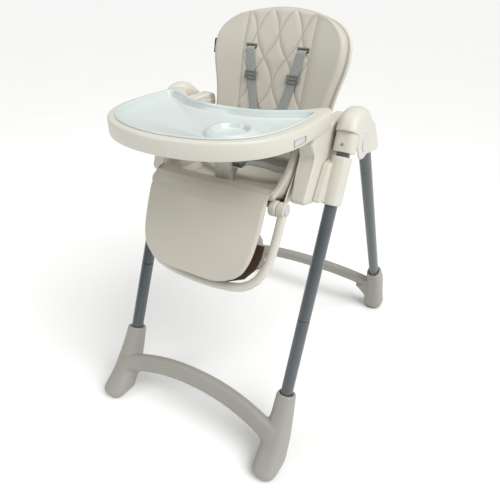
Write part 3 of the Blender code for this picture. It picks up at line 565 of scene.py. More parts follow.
BACK_HINGE = Vector((0, 0.024, 0.640))
BACK_TILT = math.radians(15.0)
BACK_UP = Vector((0, math.sin(BACK_TILT), math.cos(BACK_TILT)))
BACK_REAR = Vector((0, math.cos(BACK_TILT), -math.sin(BACK_TILT)))
PAD_FACE = -0.036
PAD_THICK = 0.030
PAD_LOW, PAD_HIGH = 0.014, 0.3785
# Half widths against the height up the back from the hinge.
PAD_WIDTHS = ((PAD_LOW, 0.150), (0.060, 0.157), (0.120, 0.159), (0.165, 0.162), (0.205, 0.170),
              (0.250, 0.1805), (0.290, 0.1825), (0.322, 0.1745), (0.347, 0.156), (0.366, 0.129),
              (PAD_HIGH, 0.094))
WING = 0.010
QUILT_HALF = 0.095
DIAMOND_WIDE = 0.0633
DIAMOND_HIGH = 0.118
DIAMOND_TOP = 0.378
SLIT_X, SLIT_UP = 0.073, 0.285


def on_back(x, up, rear):
    """Point on the backrest: across, up the back from the hinge, and behind the hinge axis."""
    return BACK_HINGE + Vector((x, 0, 0)) + BACK_UP * up + BACK_REAR * rear


def between(table, place):
    """Smooth value at a place in a table of (place, value) pairs."""
    count = len(table)
    i = max(0, min(count - 2, sum(1 for p, _ in table if p <= place) - 1))
    a, b = table[i], table[i + 1]
    before = table[i - 1] if i > 0 else (2 * a[0] - b[0], 2 * a[1] - b[1])
    after = table[i + 2] if i + 2 < count else (2 * b[0] - a[0], 2 * b[1] - a[1])
    span = b[0] - a[0]
    t = min(1.0, max(0.0, (place - a[0]) / span))
    m0 = (b[1] - before[1]) / (b[0] - before[0]) * span
    m1 = (after[1] - a[1]) / (after[0] - a[0]) * span
    return ((2 * t ** 3 - 3 * t ** 2 + 1) * a[1] + (t ** 3 - 2 * t ** 2 + t) * m0
            + (3 * t ** 2 - 2 * t ** 3) * b[1] + (t ** 3 - t ** 2) * m1)


def rounding(distance, radius):
    """How far a rounded edge has fallen away at a distance in from the edge."""
    if distance >= radius:
        return 0.0
    return radius - math.sqrt(max(0.0, radius * radius - (radius - max(0.0, distance)) ** 2))


def quilt(x, up):
    """Distance to the nearest line of the diamond stitching, or to the panel's own seam."""
    u, v = x / DIAMOND_WIDE + 0.5, (up - DIAMOND_TOP) / DIAMOND_HIGH
    bend = 0.07 * math.sin(2 * math.pi * v)
    lines = []
    for sign in (1, -1):
        phase = u + sign * v + bend * sign
        lines.append(abs(phase - round(phase)))
    slope = math.hypot(1 / DIAMOND_WIDE, 1 / DIAMOND_HIGH)
    near = min(lines) / slope
    seam = abs(abs(x) - seam_at(up))
    return (min(near, seam) if abs(x) < seam_at(up) else seam), seam


def seam_at(up):
    """Half width of the quilted panel: it widens a little towards the top."""
    return QUILT_HALF * (0.90 + 0.10 * min(1.0, up / 0.30))


def back_roll(up):
    """How far the backrest leans back near its top."""
    return 0.018 * max(0.0, (up - 0.25) / 0.13) ** 2


def pad_edge(x, up, half):
    """Distance in from the back pad's edge, top or bottom."""
    return min(half - abs(x), (PAD_HIGH - up) * 0.9, (up - PAD_LOW) * 1.2)


def back_front(x, up, half):
    """Front face of the back pad: crowned, quilted, wings forward, edges and top rolled back."""
    t = abs(x) / half
    base = PAD_FACE - WING * t ** 3 + back_roll(up)
    edge = pad_edge(x, up, half)
    fall = rounding(edge, 0.013)
    near, seam = quilt(x, up)
    if abs(x) < seam_at(up):
        puff = 0.0030 * (1 - math.exp(-(near / 0.0060) ** 1.3))
    else:
        puff = 0.0040 * (1 - math.exp(-(seam / 0.0100) ** 1.4))
    inside = min(1.0, edge / 0.012)
    # Painted shade: the returned value darkens the leather down in the stitching grooves, and fully inside
    # the strap slits.
    seam_shade = math.exp(-(near / 0.0011) ** 2) * inside
    slit = max(abs(abs(x) - SLIT_X) / 0.0160, abs(up - SLIT_UP) / 0.0050)
    dent = 0.011 if slit < 1.0 else 0.0
    return base + fall - puff * inside + 0.0012 * inside + dent, max(seam_shade, 1.0 if dent else 0.0)


def grid_solid(columns, rows, front_at, back_at):
    """Closed pad from a front and a back grid that share their outline; keeps a painted seam shade value per
    vertex.
    """
    bm = bmesh.new()
    layer = bm.verts.layers.float.new("seam")
    sheets = []
    for at in (front_at, back_at):
        sheet = []
        for j in range(rows + 1):
            line = []
            for i in range(columns + 1):
                place, seam_shade = at(i / columns, j / rows)
                vert = bm.verts.new(place)
                vert[layer] = seam_shade
                line.append(vert)
            sheet.append(line)
        sheets.append(sheet)
    for flip, sheet in zip((False, True), sheets):
        for j in range(rows):
            for i in range(columns):
                corners = (sheet[j][i], sheet[j][i + 1], sheet[j + 1][i + 1], sheet[j + 1][i])
                bm.faces.new(corners[::-1] if flip else corners)
    front, back = sheets
    rim = ([(0, i) for i in range(columns)] + [(j, columns) for j in range(rows)]
           + [(rows, i) for i in range(columns, 0, -1)] + [(j, 0) for j in range(rows, 0, -1)])
    for (j, i), (n, m) in zip(rim, rim[1:] + rim[:1]):
        bm.faces.new((front[n][m], front[j][i], back[j][i], back[n][m]))
    bmesh.ops.recalc_face_normals(bm, faces=bm.faces)
    return bm


def arch(up, t):
    """How far the top edge rises in the middle and drops at its corners."""
    ramp = min(1.0, max(0.0, (up - 0.29) / 0.088))
    return ramp * ramp * (3 - 2 * ramp) * (0.0050 - 0.0130 * t * t)


def back_place(u, v):
    """Height, half width and x of a place on the back pad."""
    up = PAD_LOW + (PAD_HIGH - PAD_LOW) * v
    half = between(PAD_WIDTHS, up)
    return up, half, (2 * u - 1) * half


def back_face(u, v):
    """Front of the back pad."""
    up, half, x = back_place(u, v)
    rear, seam_shade = back_front(x, up, half)
    return on_back(x, up + arch(up, x / half), rear), seam_shade


def back_rear(u, v):
    """Rear of the back pad, against its shell."""
    up, half, x = back_place(u, v)
    edge = pad_edge(x, up, half)
    rear = PAD_FACE + PAD_THICK - WING * (abs(x) / half) ** 3 + back_roll(up) - rounding(edge, 0.012)
    return on_back(x, up + arch(up, x / half), rear), 0.0


pad = grid_solid(190, 200, back_face, back_rear)
back_pad = piece("quilted_back_pad", pad, soft_leather, "backrest", 180.0)
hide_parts("back_pad")


def cord_round(route, radius, count=8):
    """Closed round bead along an open route."""
    turns = [2 * math.pi * k / count for k in range(count)]
    rings = []
    for i, point in enumerate(route):
        along = (route[min(i + 1, len(route) - 1)] - route[max(i - 1, 0)]).normalized()
        u = along.cross(BACK_REAR).normalized()
        v = along.cross(u)
        rings.append([point + (u * math.cos(a) + v * math.sin(a)) * radius for a in turns])
    return skinned(rings)


# Piping: a bead of the same leather sewn round the pad's sides and top.
edge = []
for k in range(241):
    a = k / 240
    if a < 0.40:
        u, v = 0.0, 0.06 + 0.94 * a / 0.40
    elif a > 0.60:
        u, v = 1.0, 0.06 + 0.94 * (1 - a) / 0.40
    else:
        u, v = (a - 0.40) / 0.20, 1.0
    up, half, x = back_place(u, v)
    rear = PAD_FACE + PAD_THICK / 2 - WING * (abs(x) / half) ** 3 + back_roll(up)
    edge.append(on_back(x, up + arch(up, x / half), rear))
piece("back_pad_piping", cord_round(edge, 0.0018), soft_leather, "backrest", 180.0)

# The leg rest's cover starts as a flap over the seat's front edge and runs down in one piece over
# the foam of the leg rest, with a bend over the hinge. A topstitched hem runs 12 mm inside its edge.
LEG_REST_HINGE = Vector((0, -0.215, 0.637))
LEG_REST_TILT = math.radians(25.6)
REST_DOWN = Vector((0, -math.sin(LEG_REST_TILT), -math.cos(LEG_REST_TILT)))
REST_FRONT = Vector((0, -math.cos(LEG_REST_TILT), math.sin(LEG_REST_TILT)))


def on_rest(x, down, front):
    """Point on the leg rest: across, down from the hinge, and in front of the hinge axis."""
    return LEG_REST_HINGE + Vector((x, 0, 0)) + REST_DOWN * down + REST_FRONT * front


def spline(a, b, c, d, t):
    """Catmull-Rom point between b and c."""
    return 0.5 * (2 * b + (c - a) * t + (2 * a - 5 * b + 4 * c - d) * t * t
                  + (3 * b - a - 3 * c + d) * t ** 3)


def smooth_curve(points, steps):
    """Catmull-Rom curve through the points."""
    points = [Vector(p) for p in points]
    ends = [2 * points[0] - points[1]] + points + [2 * points[-1] - points[-2]]
    curve = []
    for i in range(1, len(ends) - 2):
        curve += [spline(*ends[i - 1:i + 3], k / steps) for k in range(steps)]
    curve.append(points[-1])
    return curve


COVER_PATH = smooth_curve([(0, -0.204, 0.6722), (0, -0.218, 0.6745), (0, -0.232, 0.6722),
                           (0, -0.2435, 0.6630), on_rest(0, 0.008, 0.0362), on_rest(0, 0.030, 0.0352),
                           on_rest(0, 0.070, 0.0350), on_rest(0, 0.118, 0.0350),
                           on_rest(0, 0.160, 0.0350), on_rest(0, 0.1945, 0.0350)], 8)
COVER_RUN = [0.0]
for here, after in zip(COVER_PATH, COVER_PATH[1:]):
    COVER_RUN.append(COVER_RUN[-1] + (after - here).length)
COVER_LENGTH = COVER_RUN[-1]
# Half widths against the distance back from the cover's bottom edge.
COVER_HALVES = ((0.0, 0.052), (0.0035, 0.078), (0.0105, 0.100), (0.0220, 0.1215), (0.0400, 0.1385),
                (0.0750, 0.1510), (0.1250, 0.1565), (0.1750, 0.1580), (0.2700, 0.1550))
HEM_IN = 0.0115
CROWN_HIGH = 0.0035


def cover_point(run):
    """Place and outward normal on the cover's path at a distance from its start."""
    i = max(0, min(len(COVER_RUN) - 2, sum(1 for r in COVER_RUN if r <= run) - 1))
    t = (run - COVER_RUN[i]) / (COVER_RUN[i + 1] - COVER_RUN[i])
    along = (COVER_PATH[i + 1] - COVER_PATH[i]).normalized()
    if i + 2 < len(COVER_PATH):
        along = along.lerp((COVER_PATH[i + 2] - COVER_PATH[i + 1]).normalized(), t).normalized()
    return COVER_PATH[i].lerp(COVER_PATH[i + 1], t), along.cross(Vector((-1, 0, 0))).normalized()


def cover_face(u, v):
    """Outer face of the leg rest's cover."""
    run = COVER_LENGTH * v
    half = between(COVER_HALVES, COVER_LENGTH - run)
    x = (2 * u - 1) * half
    place, out = cover_point(run)
    edge = min(half - abs(x), COVER_LENGTH - run, run + 0.004)
    crown = CROWN_HIGH * (1 - (x / half) ** 2) * min(1.0, (COVER_LENGTH - run) / 0.05) * min(1.0, run / 0.05)
    hem = math.exp(-((edge - HEM_IN) / 0.0014) ** 2) * min(1.0, max(0.0, run - 0.012) / 0.01)
    lift = crown - rounding(edge, 0.0075) - 0.0009 * hem
    wave = 0.0007 * math.sin(x * 55.0) * math.exp(-((run - 0.052) / 0.012) ** 2)
    # Painted shade: the second value darkens the leather along the hem's stitched groove.
    return place + Vector((x, 0, 0)) + out * (lift + wave), 0.8 * hem


def cover_rear(u, v):
    """Rear of the cover: thin over the seat's edge, thick with foam on the leg rest."""
    run = COVER_LENGTH * v
    half = between(COVER_HALVES, COVER_LENGTH - run)
    x = (2 * u - 1) * half
    place, out = cover_point(run)
    thick = 0.0010 + 0.0175 * min(1.0, max(0.0, run - 0.022) / 0.05)
    edge = min(half - abs(x), COVER_LENGTH - run)
    if run > 0.03:
        thick = max(thick - rounding(edge, 0.0060), 0.0076)
    return place + Vector((x, 0, 0)) - out * thick, 0.0


bm = grid_solid(130, 150, cover_face, cover_rear)
cover = piece("leg_rest_cover", bm, soft_leather, None, 180.0)
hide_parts("leg_rest_pad")
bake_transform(cover)

# The seat pad lines the bucket: a foam floor and two side wings under one skin. It is filled like a
# cushion, so the wings swell between their seams and the shell.
blank = softened(cad_copy("seat_pad"), 0.0045, 3)
mesh = bpy.data.meshes.new("seat_cushion")
blank.to_mesh(mesh)
blank.free()
cushion = linked("seat_cushion", mesh)
rest = [v.co.copy() for v in mesh.vertices]
held = cushion.vertex_groups.new(name="held")
held.add([v.index for v in mesh.vertices if v.co.z < 0.640 or v.co.z > 0.786 or v.co.y < -0.222
          or (abs(v.co.x) < 0.034 and -0.205 < v.co.y < -0.160)], 1.0, "REPLACE")
cloth = cushion.modifiers.new("filling", "CLOTH")
cloth.settings.use_pressure = True
cloth.settings.uniform_pressure_force = 4.0
cloth.settings.vertex_group_mass = "held"
cloth.settings.effector_weights.gravity = 0.0
cloth.point_cache.frame_start, cloth.point_cache.frame_end = 1, 20
for step in range(1, 21):
    bpy.context.scene.frame_set(step)
graph = bpy.context.evaluated_depsgraph_get()
blown = cushion.evaluated_get(graph).to_mesh()
most = 0.0035
places = [v.co.copy() for v in blown.vertices]
cushion.evaluated_get(graph).to_mesh_clear()
cushion.modifiers.remove(cloth)
cushion.vertex_groups.remove(held)
for vert, start, place in zip(mesh.vertices, rest, places):
    step = place - start
    vert.co = start + (step if step.length <= most else step.normalized() * most)
bpy.context.scene.frame_set(1)
finish_mesh = cushion.modifiers.new("round", "SUBSURF")
finish_mesh.levels = finish_mesh.render_levels = 1
bm = applied(cushion)
layer = bm.verts.layers.float.new("seam")
for vert in bm.verts:
    # Painted shade along the two sunk seam lines on the cushion's top: the seam layer darkens the leather
    # there.
    line = abs(abs(vert.co.x) - 0.118) if vert.normal.z > 0.5 else 1.0
    seam_shade = math.exp(-(line / 0.0016) ** 2) * (vert.co.y > -0.215)
    vert.co.z -= 0.0022 * math.exp(-(line / 0.0040) ** 2)
    vert[layer] = seam_shade
cushion = piece("seat_cushion", bm, soft_leather, "seat", 180.0)
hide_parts("seat_pad")


THREAD_RADIUS = 0.00045
STITCH_PITCH = 0.0042


def stitches(name, route, body):
    """A run of sewn stitches along a route: one small loop of thread per pitch, lying on the leather."""
    mesh = bpy.data.meshes.new("run")
    mesh.from_pydata([tuple(p) for p in route], [(i, i + 1) for i in range(len(route) - 1)], [])
    guide = linked("run", mesh)
    tree = bpy.data.node_groups.new("stitch_run", "GeometryNodeTree")
    tree.interface.new_socket("Geometry", in_out="INPUT", socket_type="NodeSocketGeometry")
    spacing = tree.interface.new_socket("Stitch pitch", in_out="INPUT", socket_type="NodeSocketFloat")
    thick = tree.interface.new_socket("Thread radius", in_out="INPUT", socket_type="NodeSocketFloat")
    tree.interface.new_socket("Geometry", in_out="OUTPUT", socket_type="NodeSocketGeometry")
    given = put(tree, "NodeGroupInput")
    curve = put(tree, "GeometryNodeMeshToCurve", {"Mesh": given.outputs["Geometry"]})
    spots = put(tree, "GeometryNodeCurveToPoints", {"Curve": curve.outputs["Curve"],
                                                    "Length": given.outputs["Stitch pitch"]}, mode="LENGTH")
    turn = put(tree, "FunctionNodeAlignRotationToVector", {"Vector": spots.outputs["Tangent"]}, axis="Z")
    bead = put(tree, "GeometryNodeMeshUVSphere", {"Segments": 6, "Rings": 4,
                                                  "Radius": given.outputs["Thread radius"]})
    long = put(tree, "GeometryNodeTransform", {"Geometry": bead.outputs["Mesh"], "Scale": (1.0, 1.0, 3.2)})
    laid = put(tree, "GeometryNodeInstanceOnPoints", {"Points": spots.outputs["Points"],
                                                      "Instance": long.outputs["Geometry"],
                                                      "Rotation": turn.outputs["Rotation"]})
    real = put(tree, "GeometryNodeRealizeInstances", {"Geometry": laid.outputs["Instances"]})
    dressed = put(tree, "GeometryNodeSetMaterial", {"Geometry": real.outputs["Geometry"],
                                                    "Material": sewing_thread})
    put(tree, "NodeGroupOutput", {"Geometry": dressed.outputs["Geometry"]})
    sewn = guide.modifiers.new("stitches", "NODES")
    sewn.node_group = tree
    sewn[spacing.identifier] = STITCH_PITCH
    sewn[thick.identifier] = THREAD_RADIUS
    bm = applied(guide)
    bmesh.ops.remove_doubles(bm, verts=bm.verts, dist=1e-6)
    return piece(name, bm, sewing_thread, body, 180.0)


for label, side in SIDES:
    route = []
    for k in range(120):
        up = 0.030 + 0.335 * k / 119
        x = side * (seam_at(up) + 0.0035)
        rear, _ = back_front(x, up, between(PAD_WIDTHS, up))
        route.append(on_back(x, up, rear - 0.0001))
    stitches(f"back_pad_topstitch_{label}", route, "backrest")
hem = []
for k in range(281):
    a = k / 280
    v = 1 - abs(2 * a - 1)
    run = 0.055 + (COVER_LENGTH - HEM_IN - 0.055) * v
    half = between(COVER_HALVES, COVER_LENGTH - run) - HEM_IN
    place, out = cover_point(run)
    x = half * (-1 if a < 0.5 else 1)
    crown = CROWN_HIGH * (1 - (x / (half + HEM_IN)) ** 2) * min(1.0, (COVER_LENGTH - run) / 0.05)
    hem.append(place + Vector((x, 0, 0)) + out * (crown - 0.0007))
stitches("leg_rest_hem_topstitch", hem, "leg_rest")

# ---------------------------------------------------------------- back shell, recline lever and tag
# A cream moulded panel carries the back pad; its rim shows round the pad's edge. A grey bar across
# its rear is squeezed up to recline it. A small woven tag is sewn into the pad's left edge.
SHELL_LOW, SHELL_HIGH = -0.013, 0.380
SHELL_WIDTHS = ((SHELL_LOW, 0.150), (0.020, 0.162), (0.120, 0.164), (0.165, 0.168), (0.205, 0.176),
                (0.250, 0.187), (0.290, 0.189), (0.322, 0.181), (0.347, 0.163), (0.366, 0.137),
                (SHELL_HIGH, 0.100))


def shell_at(u, v, rear):
    """Front or rear face of the back shell, with a raised rib inside its rim."""
    up = SHELL_LOW + (SHELL_HIGH - SHELL_LOW) * v
    half = between(SHELL_WIDTHS, up)
    x = (2 * u - 1) * half
    edge = min(half - abs(x), SHELL_HIGH - up, up - SHELL_LOW)
    place = PAD_FACE + 0.0312 - WING * (abs(x) / half) ** 3 + back_roll(up)
    if rear:
        rib = math.exp(-((edge - 0.022) / 0.0035) ** 2) * 0.0016
        place += 0.0115 - rounding(edge, 0.0055) + rib
    else:
        place += rounding(edge, 0.0045)
    return on_back(x, up + arch(up, x / half), place), 0.0


bm = grid_solid(120, 130, lambda u, v: shell_at(u, v, False), lambda u, v: shell_at(u, v, True))
back_shell = piece("back_shell_moulding", bm, cream_polypropylene, "backrest", 180.0)
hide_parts("back_shell")
ribbed_pad("recline_lever", "recline_squeeze_bar", BACK_UP, BACK_REAR, 3, "recline_lever")

# Damask-woven polyester label, blank: fine dark threads, dead matt.
woven_label, tree, shader = new_material("woven_navy_polyester_label")
where = put(tree, "ShaderNodeTexCoord").outputs["Object"]
thread = put(tree, "ShaderNodeTexWave", {"Vector": where, "Scale": 700.0, "Distortion": 0.4})
tone = put(tree, "ShaderNodeMix", {"Factor": thread.outputs["Fac"], "A": linear("#141A22"),
                                   "B": linear("#232B35")}, data_type="RGBA")
tree.links.new(tone.outputs["Result"], shader.inputs["Base Color"])
shader.inputs["Roughness"].default_value = 0.9
shader.inputs["Sheen Weight"].default_value = 0.15
LABEL_FOLD = [(-0.1795, 0.0098), (-0.1880, 0.0094), (-0.1930, 0.0098), (-0.1944, 0.0108), (-0.1930, 0.0118),
              (-0.1880, 0.0122), (-0.1795, 0.0118), (-0.1795, 0.0112), (-0.1880, 0.0115), (-0.1926, 0.0112),
              (-0.1935, 0.0108), (-0.1926, 0.0104), (-0.1880, 0.0101), (-0.1795, 0.0104)]
bm = skinned([[on_back(x, 0.262 + 0.036 * k / 6, PAD_FACE + r + 0.0006 * math.sin(k * 1.1))
               for x, r in LABEL_FOLD] for k in range(7)])
tag = piece("woven_side_tag", bm, woven_label, "backrest", 180.0)
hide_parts("side_tag")

# ---------------------------------------------------------------- harness
# A five-point harness of 25 mm grey polyester webbing. The shoulder straps come out of slits in the
# back pad, pass through two-bar sliders, and meet the waist and crotch straps at a push-button buckle.

# Polyester webbing, plain weave: thread rows 1.6 mm apart, drawn a little coarse to show; matt.
polyester_webbing, tree, shader = new_material("woven_grey_polyester_webbing")
flat = put(tree, "ShaderNodeUVMap", uv_map="weave")
across = put(tree, "ShaderNodeTexWave", {"Vector": flat.outputs["UV"], "Scale": 200.0}, bands_direction="X")
along = put(tree, "ShaderNodeTexWave", {"Vector": flat.outputs["UV"], "Scale": 200.0}, bands_direction="Y")
weave = put(tree, "ShaderNodeMath", {0: across.outputs["Fac"], 1: along.outputs["Fac"]},
            operation="MULTIPLY")
tone = put(tree, "ShaderNodeMix", {"Factor": weave.outputs["Value"], "A": linear("#888B89"),
                                   "B": linear("#ABAEAB")}, data_type="RGBA")
bump = put(tree, "ShaderNodeBump", {"Height": weave.outputs["Value"], "Strength": 0.35, "Distance": 0.0003})
tree.links.new(tone.outputs["Result"], shader.inputs["Base Color"])
tree.links.new(bump.outputs["Normal"], shader.inputs["Normal"])
shader.inputs["Roughness"].default_value = 0.82
shader.inputs["Sheen Weight"].default_value = 0.20


def webbing(name, points, width, thickness, across, body, node, sway=0.0):
    """Flat strap along a smooth route, with its own weave map in metres."""
    route = smooth_curve(points, 10)
    outline = []
    for k in range(9):
        x = -0.5 + k / 8
        outline.append((x * width, -thickness / 2 * (1 - (2 * abs(x)) ** 8 * 0.7)))
    outline += [(-x, -y) for x, y in outline]
    bm = bmesh.new()
    weave = bm.loops.layers.uv.new("weave")
    rows, run = [], 0.0
    for i, point in enumerate(route):
        before, after = route[max(i - 1, 0)], route[min(i + 1, len(route) - 1)]
        along = (after - before).normalized()
        v = along.cross(Vector(across)).normalized()
        u = v.cross(along)
        run += (point - before).length if i else 0.0
        wander = u * sway * math.sin(i * 0.21) + v * sway * 0.5 * math.sin(i * 0.33)
        rows.append(([bm.verts.new(point + wander + u * a + v * b) for a, b in outline], run))
    count = len(outline)
    for (low, r0), (high, r1) in zip(rows, rows[1:]):
        for i in range(count):
            j = (i + 1) % count
            face = bm.faces.new((low[i], low[j], high[j], high[i]))
            for loop, (x, r) in zip(face.loops, ((outline[i][0], r0), (outline[j][0], r0),
                                                 (outline[j][0], r1), (outline[i][0], r1))):
                loop[weave].uv = (x, r)
    bm.faces.new(rows[0][0][::-1])
    bm.faces.new(rows[-1][0])
    bmesh.ops.recalc_face_normals(bm, faces=bm.faces)
    made = piece(name, bm, polyester_webbing, body, 60.0)
    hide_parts(node)


STRAP_FACE = PAD_FACE - 0.0042
for label, side in SIDES:
    route = [on_back(side * x, up, STRAP_FACE + lift) for x, up, lift in (
        (SLIT_X, 0.2848, 0.011), (0.0722, 0.2800, 0.001), (0.0690, 0.262, 0.0), (0.060, 0.215, 0.0),
        (0.043, 0.145, 0.0), (0.030, 0.085, -0.002), (0.024, 0.050, -0.012))]
    webbing(f"shoulder_webbing_{label}", route, 0.0235, 0.0018, (1, 0, 0), "backrest",
            f"shoulder_strap_{label}")
    waist = [(side * x, y, z) for x, y, z in ((0.0215, -0.118, 0.684), (0.060, -0.112, 0.688),
                                              (0.105, -0.092, 0.675), (0.140, -0.060, 0.672))]
    webbing(f"waist_webbing_{label}", waist, 0.0240, 0.0020, (0, 1, 0.1), "seat", f"waist_strap_{label}",
            0.0008)
webbing("crotch_webbing", [(0, -0.160, 0.6495), (0, -0.153, 0.660), (0, -0.1385, 0.677)], 0.0240, 0.0020,
        (1, 0, 0), "seat", "crotch_strap")

# Acetal, moulded in mid grey: slightly waxy, low sheen.
grey_acetal = moulded("mid_grey_moulded_acetal", "#6A6C69", "#747673", 0.7, 0.42)


def block(low, high, bevel):
    """Block between two corners, with all its edges rounded."""
    bm = bmesh.new()
    size, middle = Vector(high) - Vector(low), (Vector(high) + Vector(low)) / 2
    bmesh.ops.create_cube(bm, size=1.0, matrix=Matrix.Translation(middle) @ Matrix.Diagonal((*size, 1)))
    bmesh.ops.bevel(bm, geom=bm.edges[:], offset=bevel, segments=3, profile=0.5, affect="EDGES")
    return bm


def turned(bm, matrix):
    """The solid moved by a matrix."""
    bmesh.ops.transform(bm, matrix=matrix, verts=bm.verts)
    return bm


for label, side in SIDES:
    place = on_back(side * 0.0600, 0.215, STRAP_FACE - 0.0030)
    stand = Matrix.Translation(place) @ Matrix((
        (1, 0, 0, 0), (0, BACK_UP.y, BACK_REAR.y, 0), (0, BACK_UP.z, BACK_REAR.z, 0), (0, 0, 0, 1)))
    bars = [block((-0.0165, y - 0.0016, -0.0016), (0.0165, y + 0.0016, 0.0016), 0.0012)
            for y in (-0.0088, 0.0, 0.0088)]
    cheeks = [block((x - 0.0018, -0.0102, -0.0018), (x + 0.0018, 0.0102, 0.0018), 0.0013)
              for x in (-0.0155, 0.0155)]
    slider = piece(f"two_bar_slider_{label}", turned(together(*bars, *cheeks), stand), grey_acetal,
                   f"strap_adjuster_{label}", 60.0)
    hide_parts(f"strap_adjuster_{label}")

buckle = piece("harness_buckle_body", softened(cad_copy("harness_buckle"), 0.0009, 3), grey_acetal, "seat",
               180.0)
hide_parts("harness_buckle")
press = lathe([(-0.0025, 0.0094), (0.0006, 0.0094), (0.0013, 0.0086), (0.0014, 0.0070), (0.0009, 0.0060),
               (0.0007, 0.0020)], (0, -0.1185, 0.6915), (0, 0, 1), 40)
press = piece("buckle_press_button", press, button_abs, "buckle_button")
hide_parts("buckle_button")

# ---------------------------------------------------------------- leg rest frame
# A cream tube bent in a U hangs from ribbed drums at the seat's front corners and carries the brown
# hardboard that stiffens the leg rest. A grey button in each drum frees its ratchet.
bm = softened(cad_copy("leg_rest_frame"), 0.0016, 7)
for vert in bm.verts:
    radius = math.hypot(vert.co.y - LEG_REST_HINGE.y, vert.co.z - LEG_REST_HINGE.z)
    if abs(vert.co.x) > 0.1675 and 0.0158 < radius < 0.0185:
        turn = math.atan2(vert.co.z - LEG_REST_HINGE.z, vert.co.y - LEG_REST_HINGE.y)
        pull = 1 - 0.0009 / radius * max(0.0, math.cos(turn * 26))
        vert.co.y = LEG_REST_HINGE.y + (vert.co.y - LEG_REST_HINGE.y) * pull
        vert.co.z = LEG_REST_HINGE.z + (vert.co.z - LEG_REST_HINGE.z) * pull
loop = piece("leg_rest_u_frame", bm, cream_polypropylene, "leg_rest", 180.0)
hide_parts("leg_rest_frame")
for label, side in SIDES:
    profile = [(0.1838, 0.0113), (0.1893, 0.0113), (0.1904, 0.0107), (0.1911, 0.0096), (0.1913, 0.0080),
               (0.1909, 0.0070), (0.1907, 0.0020)]
    press = piece(f"leg_rest_press_button_{label}",
                  lathe(profile, (0, LEG_REST_HINGE.y, LEG_REST_HINGE.z), (side, 0, 0), 40), button_abs,
                  f"leg_rest_button_{label}")
    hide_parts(f"leg_rest_button_{label}")

# Tempered hardboard: pressed wood fibre, dark brown, faintly polished on its smooth face.
hardboard, tree, shader = new_material("brown_pressed_hardboard")
where = put(tree, "ShaderNodeTexCoord").outputs["Object"]
fibre = put(tree, "ShaderNodeTexNoise", {"Vector": where, "Scale": 260.0, "Detail": 6.0, "Roughness": 0.7})
tone = put(tree, "ShaderNodeMix", {"Factor": fibre.outputs["Fac"], "A": linear("#2A1C14"),
                                   "B": linear("#4A3325")}, data_type="RGBA")
bump = put(tree, "ShaderNodeBump", {"Height": fibre.outputs["Fac"], "Strength": 0.2, "Distance": 0.0004})
tree.links.new(tone.outputs["Result"], shader.inputs["Base Color"])
tree.links.new(bump.outputs["Normal"], shader.inputs["Normal"])
shader.inputs["Roughness"].default_value = 0.6
coat(["leg_rest_board"], hardboard)

# ---------------------------------------------------------------- tray, liner and catches
# A deep-skirted cream tray slides on the armrests, held by a squeeze catch at each side. A glossy
# white liner with a raised cup ring lies in it and lifts out for washing.
TRAY_HALF = [(0.0, -0.424), (0.078, -0.414), (0.143, -0.385), (0.192, -0.337), (0.218, -0.275),
             (0.2260, -0.205), (0.2225, -0.105), (0.2200, -0.080), (0.2080, -0.064), (0.1920, -0.066),
             (0.1700, -0.092), (0.142, -0.124), (0.104, -0.152), (0.055, -0.164), (0.0, -0.168)]
LINER_HALF = [(0.0, -0.408), (0.076, -0.398), (0.138, -0.369), (0.178, -0.325), (0.199, -0.268),
              (0.2065, -0.205), (0.2065, -0.150), (0.2020, -0.126), (0.1880, -0.117), (0.168, -0.123),
              (0.139, -0.140), (0.102, -0.162), (0.055, -0.174), (0.0, -0.178)]


def plan(half, steps=9):
    """Closed smooth plan curve through the points of its right half."""
    closed = half + [(-x, y) for x, y in half[-2:0:-1]]
    count = len(closed)
    points = []
    for i in range(count):
        near = [Vector(closed[(i + k) % count]) for k in (-1, 0, 1, 2)]
        points += [spline(*near, k / steps) for k in range(steps)]
    return points


def plan_solid(curve, levels):
    """Closed solid through a plan curve at (height, inset) levels."""
    count = len(curve)
    rings = []
    for z, inset in levels:
        ring = []
        for i, here in enumerate(curve):
            along = (curve[(i + 2) % count] - curve[i - 2]).normalized()
            ring.append((here.x - along.y * inset, here.y + along.x * inset, z))
        rings.append(ring)
    return skinned(rings)


def side_block(side, inner, outer, front, rear, low, high, bevel):
    """Block on one side of the chair, between two distances from its middle."""
    x0, x1 = sorted((side * inner, side * outer))
    return block((x0, front, low), (x1, rear, high), bevel)


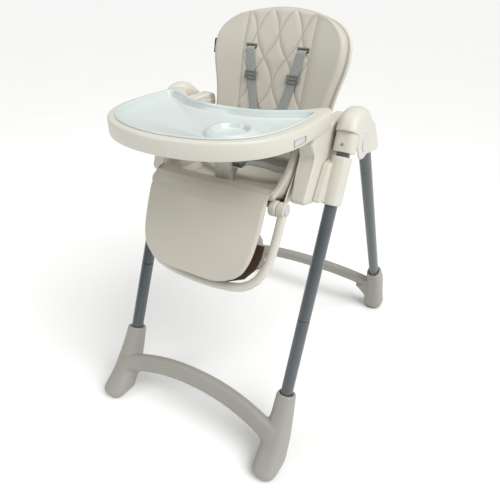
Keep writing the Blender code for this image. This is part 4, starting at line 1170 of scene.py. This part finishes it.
tray_curve, liner_curve = plan(TRAY_HALF), plan(LINER_HALF)
base = plan_solid(tray_curve, [(0.7960, 0.0020), (0.7966, 0.0008), (0.7985, 0.0), (0.8255, 0.0),
                               (0.8285, 0.0006), (0.8305, 0.0018), (0.8316, 0.0034), (0.8320, 0.0055)])
under = plan_solid(tray_curve, [(0.7900, 0.0048), (0.8150, 0.0032)])
recess = plan_solid(liner_curve, [(0.8175, 0.0130), (0.8290, 0.0062), (0.8400, 0.0062)])
channels = [side_block(side, 0.1770, 0.2190, -0.216, -0.030, 0.780, 0.8065, 0.001) for _, side in SIDES]
windows = [side_block(side, 0.2050, 0.2500, -0.2632, -0.2178, 0.8008, 0.8152, 0.0008) for _, side in SIDES]
bm = worked(base, "DIFFERENCE", under, recess, *channels, *windows)
tray = piece("tray_moulding", bm, cream_polypropylene, "tray", 35.0)
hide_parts("tray_base")
for label, side in SIDES:
    ribbed_pad(f"tray_catch_{label}", f"tray_squeeze_catch_{label}", Vector((0, 1, 0)),
               Vector((side, 0, 0)), 6, f"tray_catch_{label}")

# ABS in cool white, highly polished mould: sharp bright reflections.
white_abs, tree, shader = new_material("polished_white_moulded_abs")
where = put(tree, "ShaderNodeTexCoord").outputs["Object"]
flow = put(tree, "ShaderNodeTexNoise", {"Vector": where, "Scale": 6.0, "Detail": 2.0})
scuff = put(tree, "ShaderNodeTexNoise", {"Vector": where, "Scale": 160.0, "Detail": 5.0})
tone = put(tree, "ShaderNodeMix", {"Factor": flow.outputs["Fac"], "A": linear("#C3CCC9"),
                                   "B": linear("#CDD5D3")}, data_type="RGBA")
rough = put(tree, "ShaderNodeMapRange", {"Value": scuff.outputs["Fac"], "To Min": 0.10, "To Max": 0.22})
tree.links.new(tone.outputs["Result"], shader.inputs["Base Color"])
tree.links.new(rough.outputs["Result"], shader.inputs["Roughness"])
shader.inputs["IOR"].default_value = 1.54
dish = plan_solid(liner_curve, [(0.8180, 0.0140), (0.8300, 0.0074), (0.8322, 0.0068), (0.8325, 0.0),
                                (0.8335, -0.0002), (0.8350, 0.0004), (0.8358, 0.0016), (0.8359, 0.0030),
                                (0.8352, 0.0046), (0.8320, 0.0064), (0.8240, 0.0098), (0.8212, 0.0122),
                                (0.8202, 0.0148)])
CUP = (0.100, -0.298)
hill = lathe([(0.0008, 0.056), (0.0040, 0.0545), (0.0078, 0.0510), (0.0102, 0.0465), (0.0110, 0.0420)],
             (CUP[0], CUP[1], 0.8190), (0, 0, 1), 72)
well = lathe([(0.0, 0.031), (0.0008, 0.0335), (0.0030, 0.0352), (0.0085, 0.0368), (0.0102, 0.0385),
              (0.0120, 0.0430)], (CUP[0], CUP[1], 0.8196), (0, 0, 1), 72)
bm = worked(worked(dish, "UNION", hill), "DIFFERENCE", well)
liner = piece("tray_liner_dish", bm, white_abs, "tray_liner", 35.0)
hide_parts("tray_liner")
